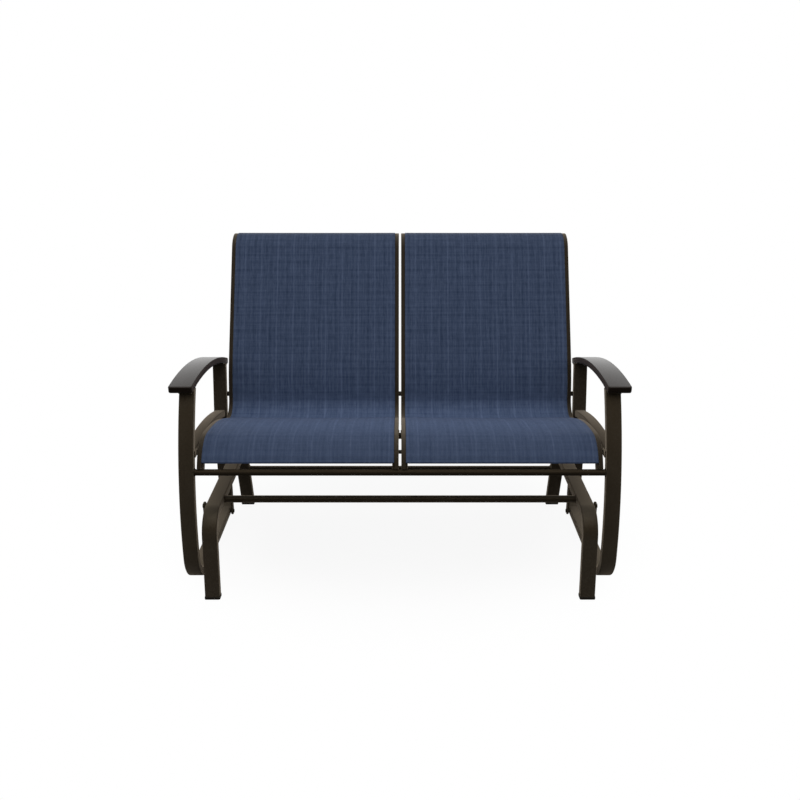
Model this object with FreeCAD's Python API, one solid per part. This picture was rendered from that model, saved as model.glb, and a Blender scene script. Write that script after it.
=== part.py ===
import FreeCAD, Part
import math
import os

# Two-seat sling glider bench, millimetres, +Z up, the bench faces -Y.
# A fixed base of two bent tube arches carries four swing links, and the links carry the seat.
# Heights are from the floor, depths are behind the front face of the front feet.
# The finished parts are shifted so that the origin is on the floor under the middle of the bench.

Vector = FreeCAD.Vector
X_AXIS = Vector(1, 0, 0)
Z_AXIS = Vector(0, 0, 1)

# Base arch: flat tube bent to an upside-down U
BASE_TUBE_WIDTH = 44.5
BASE_TUBE_DEPTH = 25.4
BASE_TUBE_EASE = 2.0
BASE_TUBE_WALL = 1.6
BASE_INNER_X = 540.0
BASE_TOP_Z = 265.5
BASE_FRONT_ANGLE = 6.6
BASE_REAR_ANGLE = 17.0
BASE_REAR_FOOT_Y = 634.0
BASE_BEND = 68.0

# Base stretchers: round tube between the arches, closed by them and left solid
BASE_STRETCHER_DIA = 22.2
BASE_FRONT_STRETCHER_Y = 166.0
BASE_REAR_STRETCHER_Z = 160.0

# Foot caps: moulded cups pressed over the leg ends
CAP_FLOOR = 4.0
CAP_HEIGHT = 9.0
CAP_WALL = 1.0
CAP_SIDE_PLAY = 0.05

# Swing links and the studs that they turn on
PIVOT_GAP = 14.0
PIVOT_FRONT_Y = 120.0
PIVOT_REAR_Y = 500.0
PIVOT_DIA = 8.0
PIVOT_PLAY = 0.05
PIVOT_SIDE_PLAY = 0.3
PIVOT_NUT_FLATS = 13.0
LOCK_NUT_THICK = 3.0
LINK_THICK = 6.0
LINK_WIDTH = 25.0

# Moving side frame: one flat tube bent from the front post round under the seat to the rear post
FRAME_TUBE_WIDTH = 44.5
FRAME_TUBE_DEPTH = 25.4
FRAME_TUBE_EASE = 2.0
FRAME_TUBE_WALL = 1.6
FRAME_FRONT_Y = 17.3
FRAME_BOTTOM_Z = 30.0
FRAME_BOW_RADIUS = 987.0
FRAME_BOW_START_Z = 140.0
FRAME_FRONT_BEND = 87.0
FRAME_REAR_BEND = 47.0
FRAME_REAR_POST_Y = 551.5
FRAME_REAR_KNEE_Z = 330.0
FRAME_REAR_ANGLE = 11.9
FRAME_KNEE_RADIUS = 400.0
POST_TRIM = 25.0

# Seat side rail: arched tube between the two posts, closed by them and left solid
SIDE_RAIL_WIDTH = 35.0
SIDE_RAIL_DEPTH = 22.0
SIDE_RAIL_EASE = 2.0
SIDE_RAIL_RADIUS = 1250.0
SIDE_RAIL_PEAK_Y = 225.0
SIDE_RAIL_PEAK_Z = 445.0

# Arm: arched moulded slab on two steel pads
ARM_WIDTH = 70.0
ARM_THICK = 20.0
ARM_RADIUS = 1180.0
ARM_PEAK_Y = 224.0
ARM_PEAK_Z = 639.7
ARM_FRONT_Y = 112.0
ARM_REAR_Y = 642.0
ARM_CORNER = 8.0
ARM_EDGE_EASE = 3.5
PAD_THICK = 3.0
PAD_WIDTH = 38.0
PAD_LENGTH = 66.0

# Seat stretchers: round tube between the moving side frames, closed by them and left solid
FRONT_STRETCHER_DIA = 19.0
FRONT_STRETCHER_BEFORE_HEM = 3.0
FRONT_STRETCHER_BELOW_HEM = 28.0
REAR_STRETCHER_DIA = 22.2
REAR_STRETCHER_Z = 307.0

# Sling rail: bar with a groove along its top for the edge of the fabric
RAIL_WIDTH = 19.0
RAIL_DEPTH = 24.0
RAIL_TO_FRAME = 7.5
CENTRE_GAP = 7.6
GROOVE_FROM_SIDE = 14.0
GROOVE_WIDTH = 2.4
GROOVE_DEPTH = 6.5

# Seat line: the top face of the sling rails, from the front stretcher up to the rolled top
SEAT_HEM_Y = 66.0
SEAT_HEM_Z = 417.0
FRONT_ANGLE = 62.0
RAIL_FOOT = 18.0
FRONT_RUN = 4.0
FRONT_ROLL_RADIUS = 100.0
FRONT_ROLL_END_ANGLE = -3.0
SEAT_CROWN_RADIUS = 900.0
SEAT_ANGLE = -19.5
SEAT_RUN = 80.5
SEAT_BACK_RADIUS = 60.0
BACK_LOWER_ANGLE = 80.0
LUMBAR_RADIUS = 450.0
BACK_UPPER_ANGLE = 62.7
BACK_RUN = 393.5
TOP_ROLL_RADIUS = 75.0
TOP_ROLL_END_ANGLE = -20.0
RAIL_CAP_THICK = 3.0

# Sling: woven fabric with both edges turned down into the rail grooves
FABRIC_THICK = 1.4
FABRIC_LIFT = 0.3
FABRIC_FROM_RAIL_TOP = 4.0

# Spreader bars: flat tube that holds the two rails of a seat apart
SPREADER_WIDTH = 25.0
SPREADER_DEPTH = 12.0
SPREADER_WALL = 1.5
SPREADER_DROP = 15.0
SEAT_SPREADER_ALONG = 187.0
BACK_SPREADER_ALONG = 1066.0

# Mounts of the sling rails: hexagon spacers, placed along the seat line, front lugs and rear brackets
FRONT_SPACER_ALONG = 39.0
FRONT_SPACER_DROP = 11.0
FRONT_SPACER_FLATS = 10.0
REAR_SPACER_ALONG = 573.0
REAR_SPACER_DROP = 12.0
REAR_SPACER_FLATS = 14.0
BRACKET_THICK = 5.0
BRACKET_WIDTH = 20.0
BRACKET_ABOVE_SPACER = 8.0
LUG_THICK = 3.0
LUG_WIDTH = 20.0
LUG_PAST_SPACER = 8.0

BASE_OUTER_X = BASE_INNER_X + BASE_TUBE_WIDTH
BASE_MID_X = BASE_INNER_X + BASE_TUBE_WIDTH / 2
FRAME_INNER_X = BASE_OUTER_X + PIVOT_GAP
FRAME_MID_X = FRAME_INNER_X + FRAME_TUBE_WIDTH / 2
FRAME_OUTER_X = FRAME_INNER_X + FRAME_TUBE_WIDTH
GAP_MID_X = BASE_OUTER_X + PIVOT_GAP / 2
BASE_RAIL_Z = BASE_TOP_Z - BASE_TUBE_DEPTH / 2
FRAME_RAIL_Z = FRAME_BOTTOM_Z + FRAME_TUBE_DEPTH / 2
OUTER_RAIL_X = FRAME_INNER_X - RAIL_TO_FRAME
INNER_RAIL_X = CENTRE_GAP / 2
PIVOT_YS = (PIVOT_FRONT_Y, PIVOT_REAR_Y)
BELOW_FLOOR = 40.0
FRONT_STRETCHER_Y = SEAT_HEM_Y - FRONT_STRETCHER_BEFORE_HEM
FRONT_STRETCHER_Z = SEAT_HEM_Z - FRONT_STRETCHER_BELOW_HEM

nodes = {}


# Paths and sections

def direction(heading):
    """Unit vector in the side plane, heading in degrees up from +Y."""
    angle = math.radians(heading)
    return Vector(0, math.cos(angle), math.sin(angle))


def normal(heading):
    """Unit vector square to the heading, on its upper side."""
    return direction(heading + 90)


def line(length):
    return ("line", length, 0.0)


def bend(radius, turn):
    return ("bend", radius, turn)


def bend_centre(point, heading, radius, turn):
    return point + normal(heading) * math.copysign(radius, turn)


def step_end(point, heading, step):
    """Point and heading at the end of one line or bend."""
    kind, size, turn = step
    if kind == "line":
        return point + direction(heading) * size, heading
    centre = bend_centre(point, heading, size, turn)
    end_heading = heading + turn
    return centre - normal(end_heading) * math.copysign(size, turn), end_heading


def path_end(point, heading, steps):
    for step in steps:
        point, heading = step_end(point, heading, step)
    return point, heading


def stood_at(shape, point, heading):
    """Copy of a section drawn in the XZ plane, stood square to the path."""
    placed = shape.copy()
    placed.Placement = FreeCAD.Placement(point, FreeCAD.Rotation(X_AXIS, heading))
    return placed


def swept(section, point, heading, steps):
    """Carry a section face along straight runs and round bends."""
    pieces = []
    for step in steps:
        kind, size, turn = step
        face = stood_at(section, point, heading)
        if kind == "line":
            pieces.append(face.extrude(direction(heading) * size))
        else:
            axis = X_AXIS * math.copysign(1, turn)
            centre = bend_centre(point, heading, size, turn)
            pieces.append(face.revolve(centre, axis, abs(turn)))
        point, heading = step_end(point, heading, step)
    if len(pieces) == 1:
        return pieces[0]
    return pieces[0].multiFuse(pieces[1:]).removeSplitter()


def face_through(corners):
    return Part.Face(Part.makePolygon(corners + corners[:1]))


def square_face(x0, x1, z0, z1):
    return face_through([Vector(x0, 0, z0), Vector(x1, 0, z0), Vector(x1, 0, z1), Vector(x0, 0, z1)])


def eased_face(x0, x1, z0, z1, ease):
    """Rectangle with its four corners cut at 45 degrees."""
    return face_through([
        Vector(x0 + ease, 0, z0), Vector(x1 - ease, 0, z0),
        Vector(x1, 0, z0 + ease), Vector(x1, 0, z1 - ease),
        Vector(x1 - ease, 0, z1), Vector(x0 + ease, 0, z1),
        Vector(x0, 0, z1 - ease), Vector(x0, 0, z0 + ease),
    ])


def bar_section(mid_x, width, depth, ease):
    """Outline of a flat tube, centred on its path."""
    return eased_face(mid_x - width / 2, mid_x + width / 2, -depth / 2, depth / 2, ease)


def tube_section(mid_x, width, depth, ease, wall):
    """The same outline with the hollow taken out."""
    half = width / 2 - wall
    rise = depth / 2 - wall
    return bar_section(mid_x, width, depth, ease).cut(square_face(mid_x - half, mid_x + half, -rise, rise)).Faces[0]


def mirrored(shape):
    return shape.mirror(Vector(0, 0, 0), X_AXIS)


def gap_mirrored(shape):
    """Mirror about the middle of the gap between base and moving frame."""
    return shape.mirror(Vector(GAP_MID_X, 0, 0), X_AXIS)


def rod(diameter, x0, x1, y, z):
    """Round bar along X."""
    return Part.makeCylinder(diameter / 2, x1 - x0, Vector(x0, y, z), X_AXIS)


def hexagon(flats, x0, x1, y, z):
    """Six-sided bar along X."""
    radius = flats / math.sqrt(3)
    corners = []
    for i in range(6):
        angle = math.radians(60 * i)
        corners.append(Vector(x0, y + radius * math.cos(angle), z + radius * math.sin(angle)))
    return face_through(corners).extrude(X_AXIS * (x1 - x0))


def group(shapes):
    return Part.makeCompound(shapes)


def both_sides(shapes):
    """The same solids on the right and, mirrored, on the left."""
    return group(shapes + [mirrored(shape) for shape in shapes])


def add_pair(name, right_shape):
    nodes[name + "_right"] = right_shape
    nodes[name + "_left"] = mirrored(right_shape)


def floor_block(top):
    """Block that holds everything of the right legs below a height."""
    reach = 2 * BELOW_FLOOR
    corner = Vector(0, -reach, -reach)
    return Part.makeBox(BASE_OUTER_X + reach, BASE_REAR_FOOT_Y + 2 * reach, top + reach, corner)


# Base arches and their stretchers

def base_path():
    """Start point, heading and steps of the arch, from the front foot over to the rear foot."""
    front_slope = math.tan(math.radians(BASE_FRONT_ANGLE))
    rear_slope = math.tan(math.radians(BASE_REAR_ANGLE))
    half = BASE_TUBE_DEPTH / 2
    front_floor_y = half / math.cos(math.radians(BASE_FRONT_ANGLE))
    rear_floor_y = BASE_REAR_FOOT_Y + half / math.cos(math.radians(BASE_REAR_ANGLE))
    front_knee = Vector(0, front_floor_y + BASE_RAIL_Z * front_slope, BASE_RAIL_Z)
    rear_knee = Vector(0, rear_floor_y - BASE_RAIL_Z * rear_slope, BASE_RAIL_Z)
    front_turn = 90 - BASE_FRONT_ANGLE
    rear_turn = 90 - BASE_REAR_ANGLE
    front_trim = BASE_BEND * math.tan(math.radians(front_turn / 2))
    rear_trim = BASE_BEND * math.tan(math.radians(rear_turn / 2))
    start = Vector(0, front_floor_y - BELOW_FLOOR * front_slope, -BELOW_FLOOR)
    end = Vector(0, rear_floor_y + BELOW_FLOOR * rear_slope, -BELOW_FLOOR)
    steps = [
        line((front_knee - start).Length - front_trim),
        bend(BASE_BEND, -front_turn),
        line(rear_knee.y - front_knee.y - front_trim - rear_trim),
        bend(BASE_BEND, -rear_turn),
        line((end - rear_knee).Length - rear_trim),
    ]
    return start, front_turn, steps


def rear_leg_y(z):
    """Middle of the rear leg at a height."""
    half = BASE_TUBE_DEPTH / 2 / math.cos(math.radians(BASE_REAR_ANGLE))
    return BASE_REAR_FOOT_Y + half - z * math.tan(math.radians(BASE_REAR_ANGLE))


def base_arch():
    """Hollow arch with its feet cut level."""
    section = tube_section(BASE_MID_X, BASE_TUBE_WIDTH, BASE_TUBE_DEPTH, BASE_TUBE_EASE, BASE_TUBE_WALL)
    return swept(section, *base_path()).cut(floor_block(CAP_FLOOR))


def grown_arch(extra):
    """Solid arch, larger than the tube by the same amount all round."""
    section = bar_section(BASE_MID_X, BASE_TUBE_WIDTH + 2 * extra, BASE_TUBE_DEPTH + 2 * extra, BASE_TUBE_EASE)
    return swept(section, *base_path())


def foot_caps():
    """Front and rear cap of one arch."""
    cups = grown_arch(CAP_SIDE_PLAY + CAP_WALL).common(floor_block(CAP_HEIGHT)).cut(floor_block(0))
    legs = grown_arch(CAP_SIDE_PLAY).cut(floor_block(CAP_FLOOR))
    return sorted(cups.cut(legs).Solids, key=lambda cap: cap.BoundBox.Center.y)


nodes["base_arches"] = both_sides([base_arch()])
front_cap, rear_cap = foot_caps()
add_pair("foot_cap_front", front_cap)
add_pair("foot_cap_rear", rear_cap)
nodes["base_front_stretcher"] = rod(
    BASE_STRETCHER_DIA, -BASE_INNER_X, BASE_INNER_X, BASE_FRONT_STRETCHER_Y, BASE_RAIL_Z)
nodes["base_rear_stretcher"] = rod(
    BASE_STRETCHER_DIA, -BASE_INNER_X, BASE_INNER_X, rear_leg_y(BASE_REAR_STRETCHER_Z), BASE_REAR_STRETCHER_Z)


# Swing links and their studs, drawn for the upper pivots on the right

JAM_FACE_X = GAP_MID_X - LINK_THICK / 2 - PIVOT_SIDE_PLAY
LOCK_FACE_X = GAP_MID_X + LINK_THICK / 2 + PIVOT_SIDE_PLAY
STUD_END_X = LOCK_FACE_X + LOCK_NUT_THICK


def upper_stud(y):
    """Stud welded to the base rail, with a jam nut behind the link and a lock nut in front of it."""
    jam_nut = hexagon(PIVOT_NUT_FLATS, BASE_OUTER_X, JAM_FACE_X, y, BASE_RAIL_Z)
    lock_nut = hexagon(PIVOT_NUT_FLATS, LOCK_FACE_X, STUD_END_X, y, BASE_RAIL_Z)
    shank = rod(PIVOT_DIA, BASE_OUTER_X, STUD_END_X, y, BASE_RAIL_Z)
    return shank.fuse([jam_nut, lock_nut]).removeSplitter()


def lower_stud(y):
    """The same stud turned round, on the lower rail of the moving frame."""
    stud = gap_mirrored(upper_stud(y))
    stud.translate(Z_AXIS * (FRAME_RAIL_Z - BASE_RAIL_Z))
    return stud


def swing_link(y):
    """Flat bar with round ends and a bored eye in each."""
    half = LINK_WIDTH / 2
    x0 = GAP_MID_X - LINK_THICK / 2
    x1 = GAP_MID_X + LINK_THICK / 2
    bar = Part.makeBox(LINK_THICK, LINK_WIDTH, BASE_RAIL_Z - FRAME_RAIL_Z, Vector(x0, y - half, FRAME_RAIL_Z))
    ends = [rod(LINK_WIDTH, x0, x1, y, z) for z in (BASE_RAIL_Z, FRAME_RAIL_Z)]
    bores = [rod(PIVOT_DIA + 2 * PIVOT_PLAY, x0, x1, y, z) for z in (BASE_RAIL_Z, FRAME_RAIL_Z)]
    return bar.fuse(ends).removeSplitter().cut(bores)


for place, pivot_y in (("front", PIVOT_FRONT_Y), ("rear", PIVOT_REAR_Y)):
    add_pair("swing_link_" + place, swing_link(pivot_y))
nodes["upper_pivot_studs"] = both_sides([upper_stud(y) for y in PIVOT_YS])
nodes["lower_pivot_studs"] = both_sides([lower_stud(y) for y in PIVOT_YS])


# Arms, drawn first because the posts are cut to the underside of their pads

ARM_UNDER_RADIUS = ARM_RADIUS - ARM_THICK
PAD_UNDER_RADIUS = ARM_UNDER_RADIUS - PAD_THICK
ARM_CENTRE = Vector(0, ARM_PEAK_Y, ARM_PEAK_Z - ARM_RADIUS)
FRAME_FRONT_MID_Y = FRAME_FRONT_Y + FRAME_TUBE_DEPTH / 2
BOW_CENTRE = Vector(0, FRAME_FRONT_MID_Y + FRAME_BOW_RADIUS, FRAME_BOW_START_Z)
REAR_KNEE = Vector(0, FRAME_REAR_POST_Y, FRAME_REAR_KNEE_Z)


def circles_meet(centre_a, radius_a, centre_b, radius_b):
    """Upper crossing of two circles in the side plane."""
    apart = centre_b - centre_a
    reach = apart.Length
    along = (reach ** 2 + radius_a ** 2 - radius_b ** 2) / (2 * reach)
    across = math.sqrt(radius_a ** 2 - along ** 2)
    way = apart.normalize()
    return centre_a + way * along + way.cross(X_AXIS) * across


def line_meets(point, way, centre, radius):
    """Place where a straight line leaves the circle that it starts in."""
    offset = point - centre
    along = offset.dot(way)
    return point + way * (math.sqrt(along ** 2 - offset.dot(offset) + radius ** 2) - along)


FRONT_POST_TOP = circles_meet(BOW_CENTRE, FRAME_BOW_RADIUS, ARM_CENTRE, PAD_UNDER_RADIUS)
REAR_POST_TOP = line_meets(REAR_KNEE, direction(90 - FRAME_REAR_ANGLE), ARM_CENTRE, PAD_UNDER_RADIUS)


def arch_heading(y, radius):
    """Heading of the arm's arch over a depth, going back."""
    return -math.degrees(math.asin((y - ARM_PEAK_Y) / radius))


def arched_bar(x0, width, outer_radius, thick, ease, y0, y1):
    """Slab that follows the arm's arch between two depths."""
    middle_radius = outer_radius - thick / 2
    section = eased_face(x0, x0 + width, -thick / 2, thick / 2, ease)
    heading = arch_heading(y0, outer_radius)
    start = ARM_CENTRE + normal(heading) * middle_radius
    return swept(section, start, heading, [bend(middle_radius, arch_heading(y1, outer_radius) - heading)])


def arm():
    """Arched slab with its long edges eased and the corners of both ends cut."""
    x0 = FRAME_INNER_X
    x1 = FRAME_INNER_X + ARM_WIDTH
    slab = arched_bar(x0, ARM_WIDTH, ARM_RADIUS, ARM_THICK, ARM_EDGE_EASE,
                      ARM_FRONT_Y - ARM_THICK, ARM_REAR_Y + ARM_THICK)
    plan = face_through([
        Vector(x0 + ARM_CORNER, ARM_FRONT_Y, 0), Vector(x1 - ARM_CORNER, ARM_FRONT_Y, 0),
        Vector(x1, ARM_FRONT_Y + ARM_CORNER, 0), Vector(x1, ARM_REAR_Y - ARM_CORNER, 0),
        Vector(x1 - ARM_CORNER, ARM_REAR_Y, 0), Vector(x0 + ARM_CORNER, ARM_REAR_Y, 0),
        Vector(x0, ARM_REAR_Y - ARM_CORNER, 0), Vector(x0, ARM_FRONT_Y + ARM_CORNER, 0),
    ])
    return slab.common(plan.extrude(Z_AXIS * (ARM_PEAK_Z + ARM_THICK)))


def arm_pad(y):
    """Steel pad welded on a post top, curved to the underside of the arm."""
    half = PAD_LENGTH / 2
    return arched_bar(FRAME_MID_X - PAD_WIDTH / 2, PAD_WIDTH, ARM_UNDER_RADIUS, PAD_THICK, 0, y - half, y + half)


add_pair("arm", arm())
add_pair("arm_pads", group([arm_pad(FRONT_POST_TOP.y), arm_pad(REAR_POST_TOP.y)]))


# Moving side frames with their arched seat side rails

def frame_path():
    """From above the front pad down the post, under the seat and up past the rear pad."""
    bow_angle = math.degrees(math.asin((FRONT_POST_TOP.z - FRAME_BOW_START_Z) / FRAME_BOW_RADIUS))
    bow_angle += math.degrees(POST_TRIM / FRAME_BOW_RADIUS)
    start = BOW_CENTRE - normal(-90 - bow_angle) * FRAME_BOW_RADIUS
    knee_trim = FRAME_KNEE_RADIUS * math.tan(math.radians(FRAME_REAR_ANGLE / 2))
    steps = [
        bend(FRAME_BOW_RADIUS, bow_angle),
        line(FRAME_BOW_START_Z - FRAME_RAIL_Z - FRAME_FRONT_BEND),
        bend(FRAME_FRONT_BEND, 90),
        line(FRAME_REAR_POST_Y - FRAME_REAR_BEND - FRAME_FRONT_MID_Y - FRAME_FRONT_BEND),
        bend(FRAME_REAR_BEND, 90),
        line(FRAME_REAR_KNEE_Z - knee_trim - FRAME_RAIL_Z - FRAME_REAR_BEND),
        bend(FRAME_KNEE_RADIUS, -FRAME_REAR_ANGLE),
        line((REAR_POST_TOP - REAR_KNEE).Length - knee_trim + POST_TRIM),
    ]
    return start, -90 - bow_angle, steps


def trimmed_frame(section):
    """Frame swept with a section, its post tops cut to the underside of the pads."""
    under_pads = Part.makeCylinder(PAD_UNDER_RADIUS, 2 * FRAME_TUBE_WIDTH,
                                   ARM_CENTRE + X_AXIS * (FRAME_MID_X - FRAME_TUBE_WIDTH), X_AXIS)
    return swept(section, *frame_path()).common(under_pads)


def seat_side_rail():
    """Arched tube, its ends coped to the two posts."""
    middle_radius = SIDE_RAIL_RADIUS - SIDE_RAIL_DEPTH / 2
    centre = Vector(0, SIDE_RAIL_PEAK_Y, SIDE_RAIL_PEAK_Z - SIDE_RAIL_RADIUS)
    front_angle = math.degrees(math.asin((SIDE_RAIL_PEAK_Y - FRAME_FRONT_MID_Y) / middle_radius))
    rear_angle = math.degrees(math.asin((REAR_POST_TOP.y - SIDE_RAIL_PEAK_Y) / middle_radius))
    section = bar_section(FRAME_MID_X, SIDE_RAIL_WIDTH, SIDE_RAIL_DEPTH, SIDE_RAIL_EASE)
    rail = swept(section, centre + normal(front_angle) * middle_radius, front_angle,
                 [bend(middle_radius, -front_angle - rear_angle)])
    posts = trimmed_frame(bar_section(FRAME_MID_X, FRAME_TUBE_WIDTH, FRAME_TUBE_DEPTH, FRAME_TUBE_EASE))
    return max(rail.cut(posts).Solids, key=lambda solid: solid.Volume)


FRAME_SECTION = tube_section(FRAME_MID_X, FRAME_TUBE_WIDTH, FRAME_TUBE_DEPTH, FRAME_TUBE_EASE, FRAME_TUBE_WALL)
nodes["side_frames"] = both_sides([trimmed_frame(FRAME_SECTION)])
nodes["seat_side_rails"] = both_sides([seat_side_rail()])
nodes["front_seat_stretcher"] = rod(
    FRONT_STRETCHER_DIA, -FRAME_INNER_X, FRAME_INNER_X, FRONT_STRETCHER_Y, FRONT_STRETCHER_Z)
nodes["rear_seat_stretcher"] = rod(
    REAR_STRETCHER_DIA, -FRAME_INNER_X, FRAME_INNER_X, FRAME_REAR_POST_Y, REAR_STRETCHER_Z)


# Sling rails

HEM = Vector(0, SEAT_HEM_Y, SEAT_HEM_Z)


def seat_steps(front_run, top_trim):
    """Steps of the seat line from its lower front end, less a trim at the rolled top."""
    roll = math.degrees(top_trim / TOP_ROLL_RADIUS)
    return [
        line(front_run),
        bend(FRONT_ROLL_RADIUS, FRONT_ROLL_END_ANGLE - FRONT_ANGLE),
        bend(SEAT_CROWN_RADIUS, SEAT_ANGLE - FRONT_ROLL_END_ANGLE),
        line(SEAT_RUN),
        bend(SEAT_BACK_RADIUS, BACK_LOWER_ANGLE - SEAT_ANGLE),
        bend(LUMBAR_RADIUS, BACK_UPPER_ANGLE - BACK_LOWER_ANGLE),
        line(BACK_RUN),
        bend(TOP_ROLL_RADIUS, TOP_ROLL_END_ANGLE - BACK_UPPER_ANGLE + roll),
    ]


RAIL_START = HEM - direction(FRONT_ANGLE) * RAIL_FOOT
RAIL_STEPS = seat_steps(RAIL_FOOT + FRONT_RUN, 0)


def along_seat(distance):
    """Point and heading of the seat line, by the distance along it from the hem."""
    point, heading = HEM, FRONT_ANGLE
    for kind, size, turn in seat_steps(FRONT_RUN, 0):
        length = size if kind == "line" else size * math.radians(abs(turn))
        if distance > length:
            point, heading = step_end(point, heading, (kind, size, turn))
            distance -= length
        elif kind == "line":
            return step_end(point, heading, line(distance))
        else:
            return step_end(point, heading, bend(size, turn * distance / length))
    return point, heading


def below_seat(distance, drop):
    """Point under the seat line, square to it."""
    point, heading = along_seat(distance)
    return point - normal(heading) * drop


def rail_section(side_x, inward):
    """Rail from its outer side face, inward being +1 or -1 towards the fabric."""
    x0, x1 = sorted((side_x, side_x + inward * RAIL_WIDTH))
    groove_x = side_x + inward * GROOVE_FROM_SIDE
    groove = square_face(groove_x - GROOVE_WIDTH / 2, groove_x + GROOVE_WIDTH / 2, -GROOVE_DEPTH, GROOVE_DEPTH)
    return square_face(x0, x1, -RAIL_DEPTH, 0).cut(groove).Faces[0]


def sling_rail(side_x, inward):
    """Grooved rail, its foot coped to the top of the front stretcher."""
    rail = swept(rail_section(side_x, inward), RAIL_START, FRONT_ANGLE, RAIL_STEPS)
    return rail.cut(nodes["front_seat_stretcher"])


def rail_cap(side_x, inward):
    """Flat lid on the top end of a rail."""
    end, heading = path_end(RAIL_START, FRONT_ANGLE, RAIL_STEPS)
    x0, x1 = sorted((side_x, side_x + inward * RAIL_WIDTH))
    return stood_at(square_face(x0, x1, -RAIL_DEPTH, 0), end, heading).extrude(direction(heading) * RAIL_CAP_THICK)


OUTER_RAIL = (OUTER_RAIL_X, -1)
INNER_RAIL = (INNER_RAIL_X, 1)
nodes["sling_rails"] = both_sides([sling_rail(*OUTER_RAIL), sling_rail(*INNER_RAIL)])
nodes["rail_caps"] = both_sides([rail_cap(*OUTER_RAIL), rail_cap(*INNER_RAIL)])


# Slings

def sling():
    """One sheet over the rails, with an edge turned down into each groove."""
    half = FABRIC_THICK / 2
    inner_x = INNER_RAIL_X + GROOVE_FROM_SIDE
    outer_x = OUTER_RAIL_X - GROOVE_FROM_SIDE
    sheet = square_face(inner_x - half, outer_x + half, FABRIC_LIFT, FABRIC_LIFT + FABRIC_THICK)
    edges = [square_face(x - half, x + half, FABRIC_LIFT - GROOVE_DEPTH, FABRIC_LIFT) for x in (inner_x, outer_x)]
    section = sheet.fuse(edges).removeSplitter().Faces[0]
    return swept(section, HEM, FRONT_ANGLE, seat_steps(FRONT_RUN, FABRIC_FROM_RAIL_TOP))


add_pair("sling", sling())


# Spreader bars

def box_between(x0, x1, half_width, half_depth):
    return Part.makeBox(x1 - x0, 2 * half_width, 2 * half_depth, Vector(x0, -half_width, -half_depth))


def spreader(distance):
    """Flat tube between the two rails of a seat, under the seat line."""
    x0 = INNER_RAIL_X + RAIL_WIDTH
    x1 = OUTER_RAIL_X - RAIL_WIDTH
    wide = SPREADER_WIDTH / 2
    deep = SPREADER_DEPTH / 2
    tube = box_between(x0, x1, wide, deep).cut(box_between(x0, x1, wide - SPREADER_WALL, deep - SPREADER_WALL))
    point, heading = along_seat(distance)
    return stood_at(tube, point - normal(heading) * SPREADER_DROP, heading)


add_pair("seat_spreader", spreader(SEAT_SPREADER_ALONG))
add_pair("back_spreader", spreader(BACK_SPREADER_ALONG))


# Mounts of the sling rails

FRONT_SPACER = below_seat(FRONT_SPACER_ALONG, FRONT_SPACER_DROP)
REAR_SPACER = below_seat(REAR_SPACER_ALONG, REAR_SPACER_DROP)


def front_lug():
    """Flat lug welded on the inner face of the front post, with the front spacer on it."""
    rise = FRONT_SPACER.z - FRAME_BOW_START_Z
    post_y = BOW_CENTRE.y - math.sqrt(FRAME_BOW_RADIUS ** 2 - rise ** 2)
    length = FRONT_SPACER.y + LUG_PAST_SPACER - post_y
    corner = Vector(FRAME_INNER_X - LUG_THICK, post_y, FRONT_SPACER.z - LUG_WIDTH / 2)
    return Part.makeBox(LUG_THICK, length, LUG_WIDTH, corner)


def rail_bracket():
    """Flat bar from the rear stretcher up the fabric side of a middle rail."""
    x0 = INNER_RAIL_X + RAIL_WIDTH
    foot = Vector(x0, FRAME_REAR_POST_Y, REAR_STRETCHER_Z)
    eye = Vector(x0, REAR_SPACER.y, REAR_SPACER.z)
    along = (eye - foot).normalize()
    top = eye + along * BRACKET_ABOVE_SPACER
    across = along.cross(X_AXIS) * (BRACKET_WIDTH / 2)
    bar = face_through([foot - across, foot + across, top + across, top - across]).extrude(X_AXIS * BRACKET_THICK)
    return max(bar.cut(nodes["rear_seat_stretcher"]).Solids, key=lambda solid: solid.Volume)


nodes["front_lugs"] = both_sides([front_lug()])
nodes["side_rail_spacers"] = both_sides([
    hexagon(FRONT_SPACER_FLATS, OUTER_RAIL_X, FRAME_INNER_X - LUG_THICK, FRONT_SPACER.y, FRONT_SPACER.z),
    hexagon(REAR_SPACER_FLATS, OUTER_RAIL_X, FRAME_INNER_X, REAR_SPACER.y, REAR_SPACER.z)])
nodes["centre_spacers"] = group([
    hexagon(FRONT_SPACER_FLATS, -INNER_RAIL_X, INNER_RAIL_X, FRONT_SPACER.y, FRONT_SPACER.z),
    hexagon(REAR_SPACER_FLATS, -INNER_RAIL_X, INNER_RAIL_X, REAR_SPACER.y, REAR_SPACER.z)])
add_pair("rail_bracket", rail_bracket())


# Shift to the middle of the depth and write one file per node

ends = [nodes["foot_cap_front_right"], nodes["rail_caps"]]
depth = group(ends).optimalBoundingBox(False, False)
middle_y = (depth.YMin + depth.YMax) / 2
print("depth %.2f to %.2f, middle %.3f" % (depth.YMin, depth.YMax, middle_y))
for y in PIVOT_YS:
    print("pivot y %.3f, upper z %.3f, lower z %.3f" % (y - middle_y, BASE_RAIL_Z, FRAME_RAIL_Z))

os.makedirs("parts", exist_ok=True)
for name, shape in nodes.items():
    if not shape.isValid():
        print("not valid:", name)
    shape.translate(Vector(0, -middle_y, 0))
    shape.exportStep("parts/%s.step" % name)
print("nodes", len(nodes))
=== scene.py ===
import math

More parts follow.
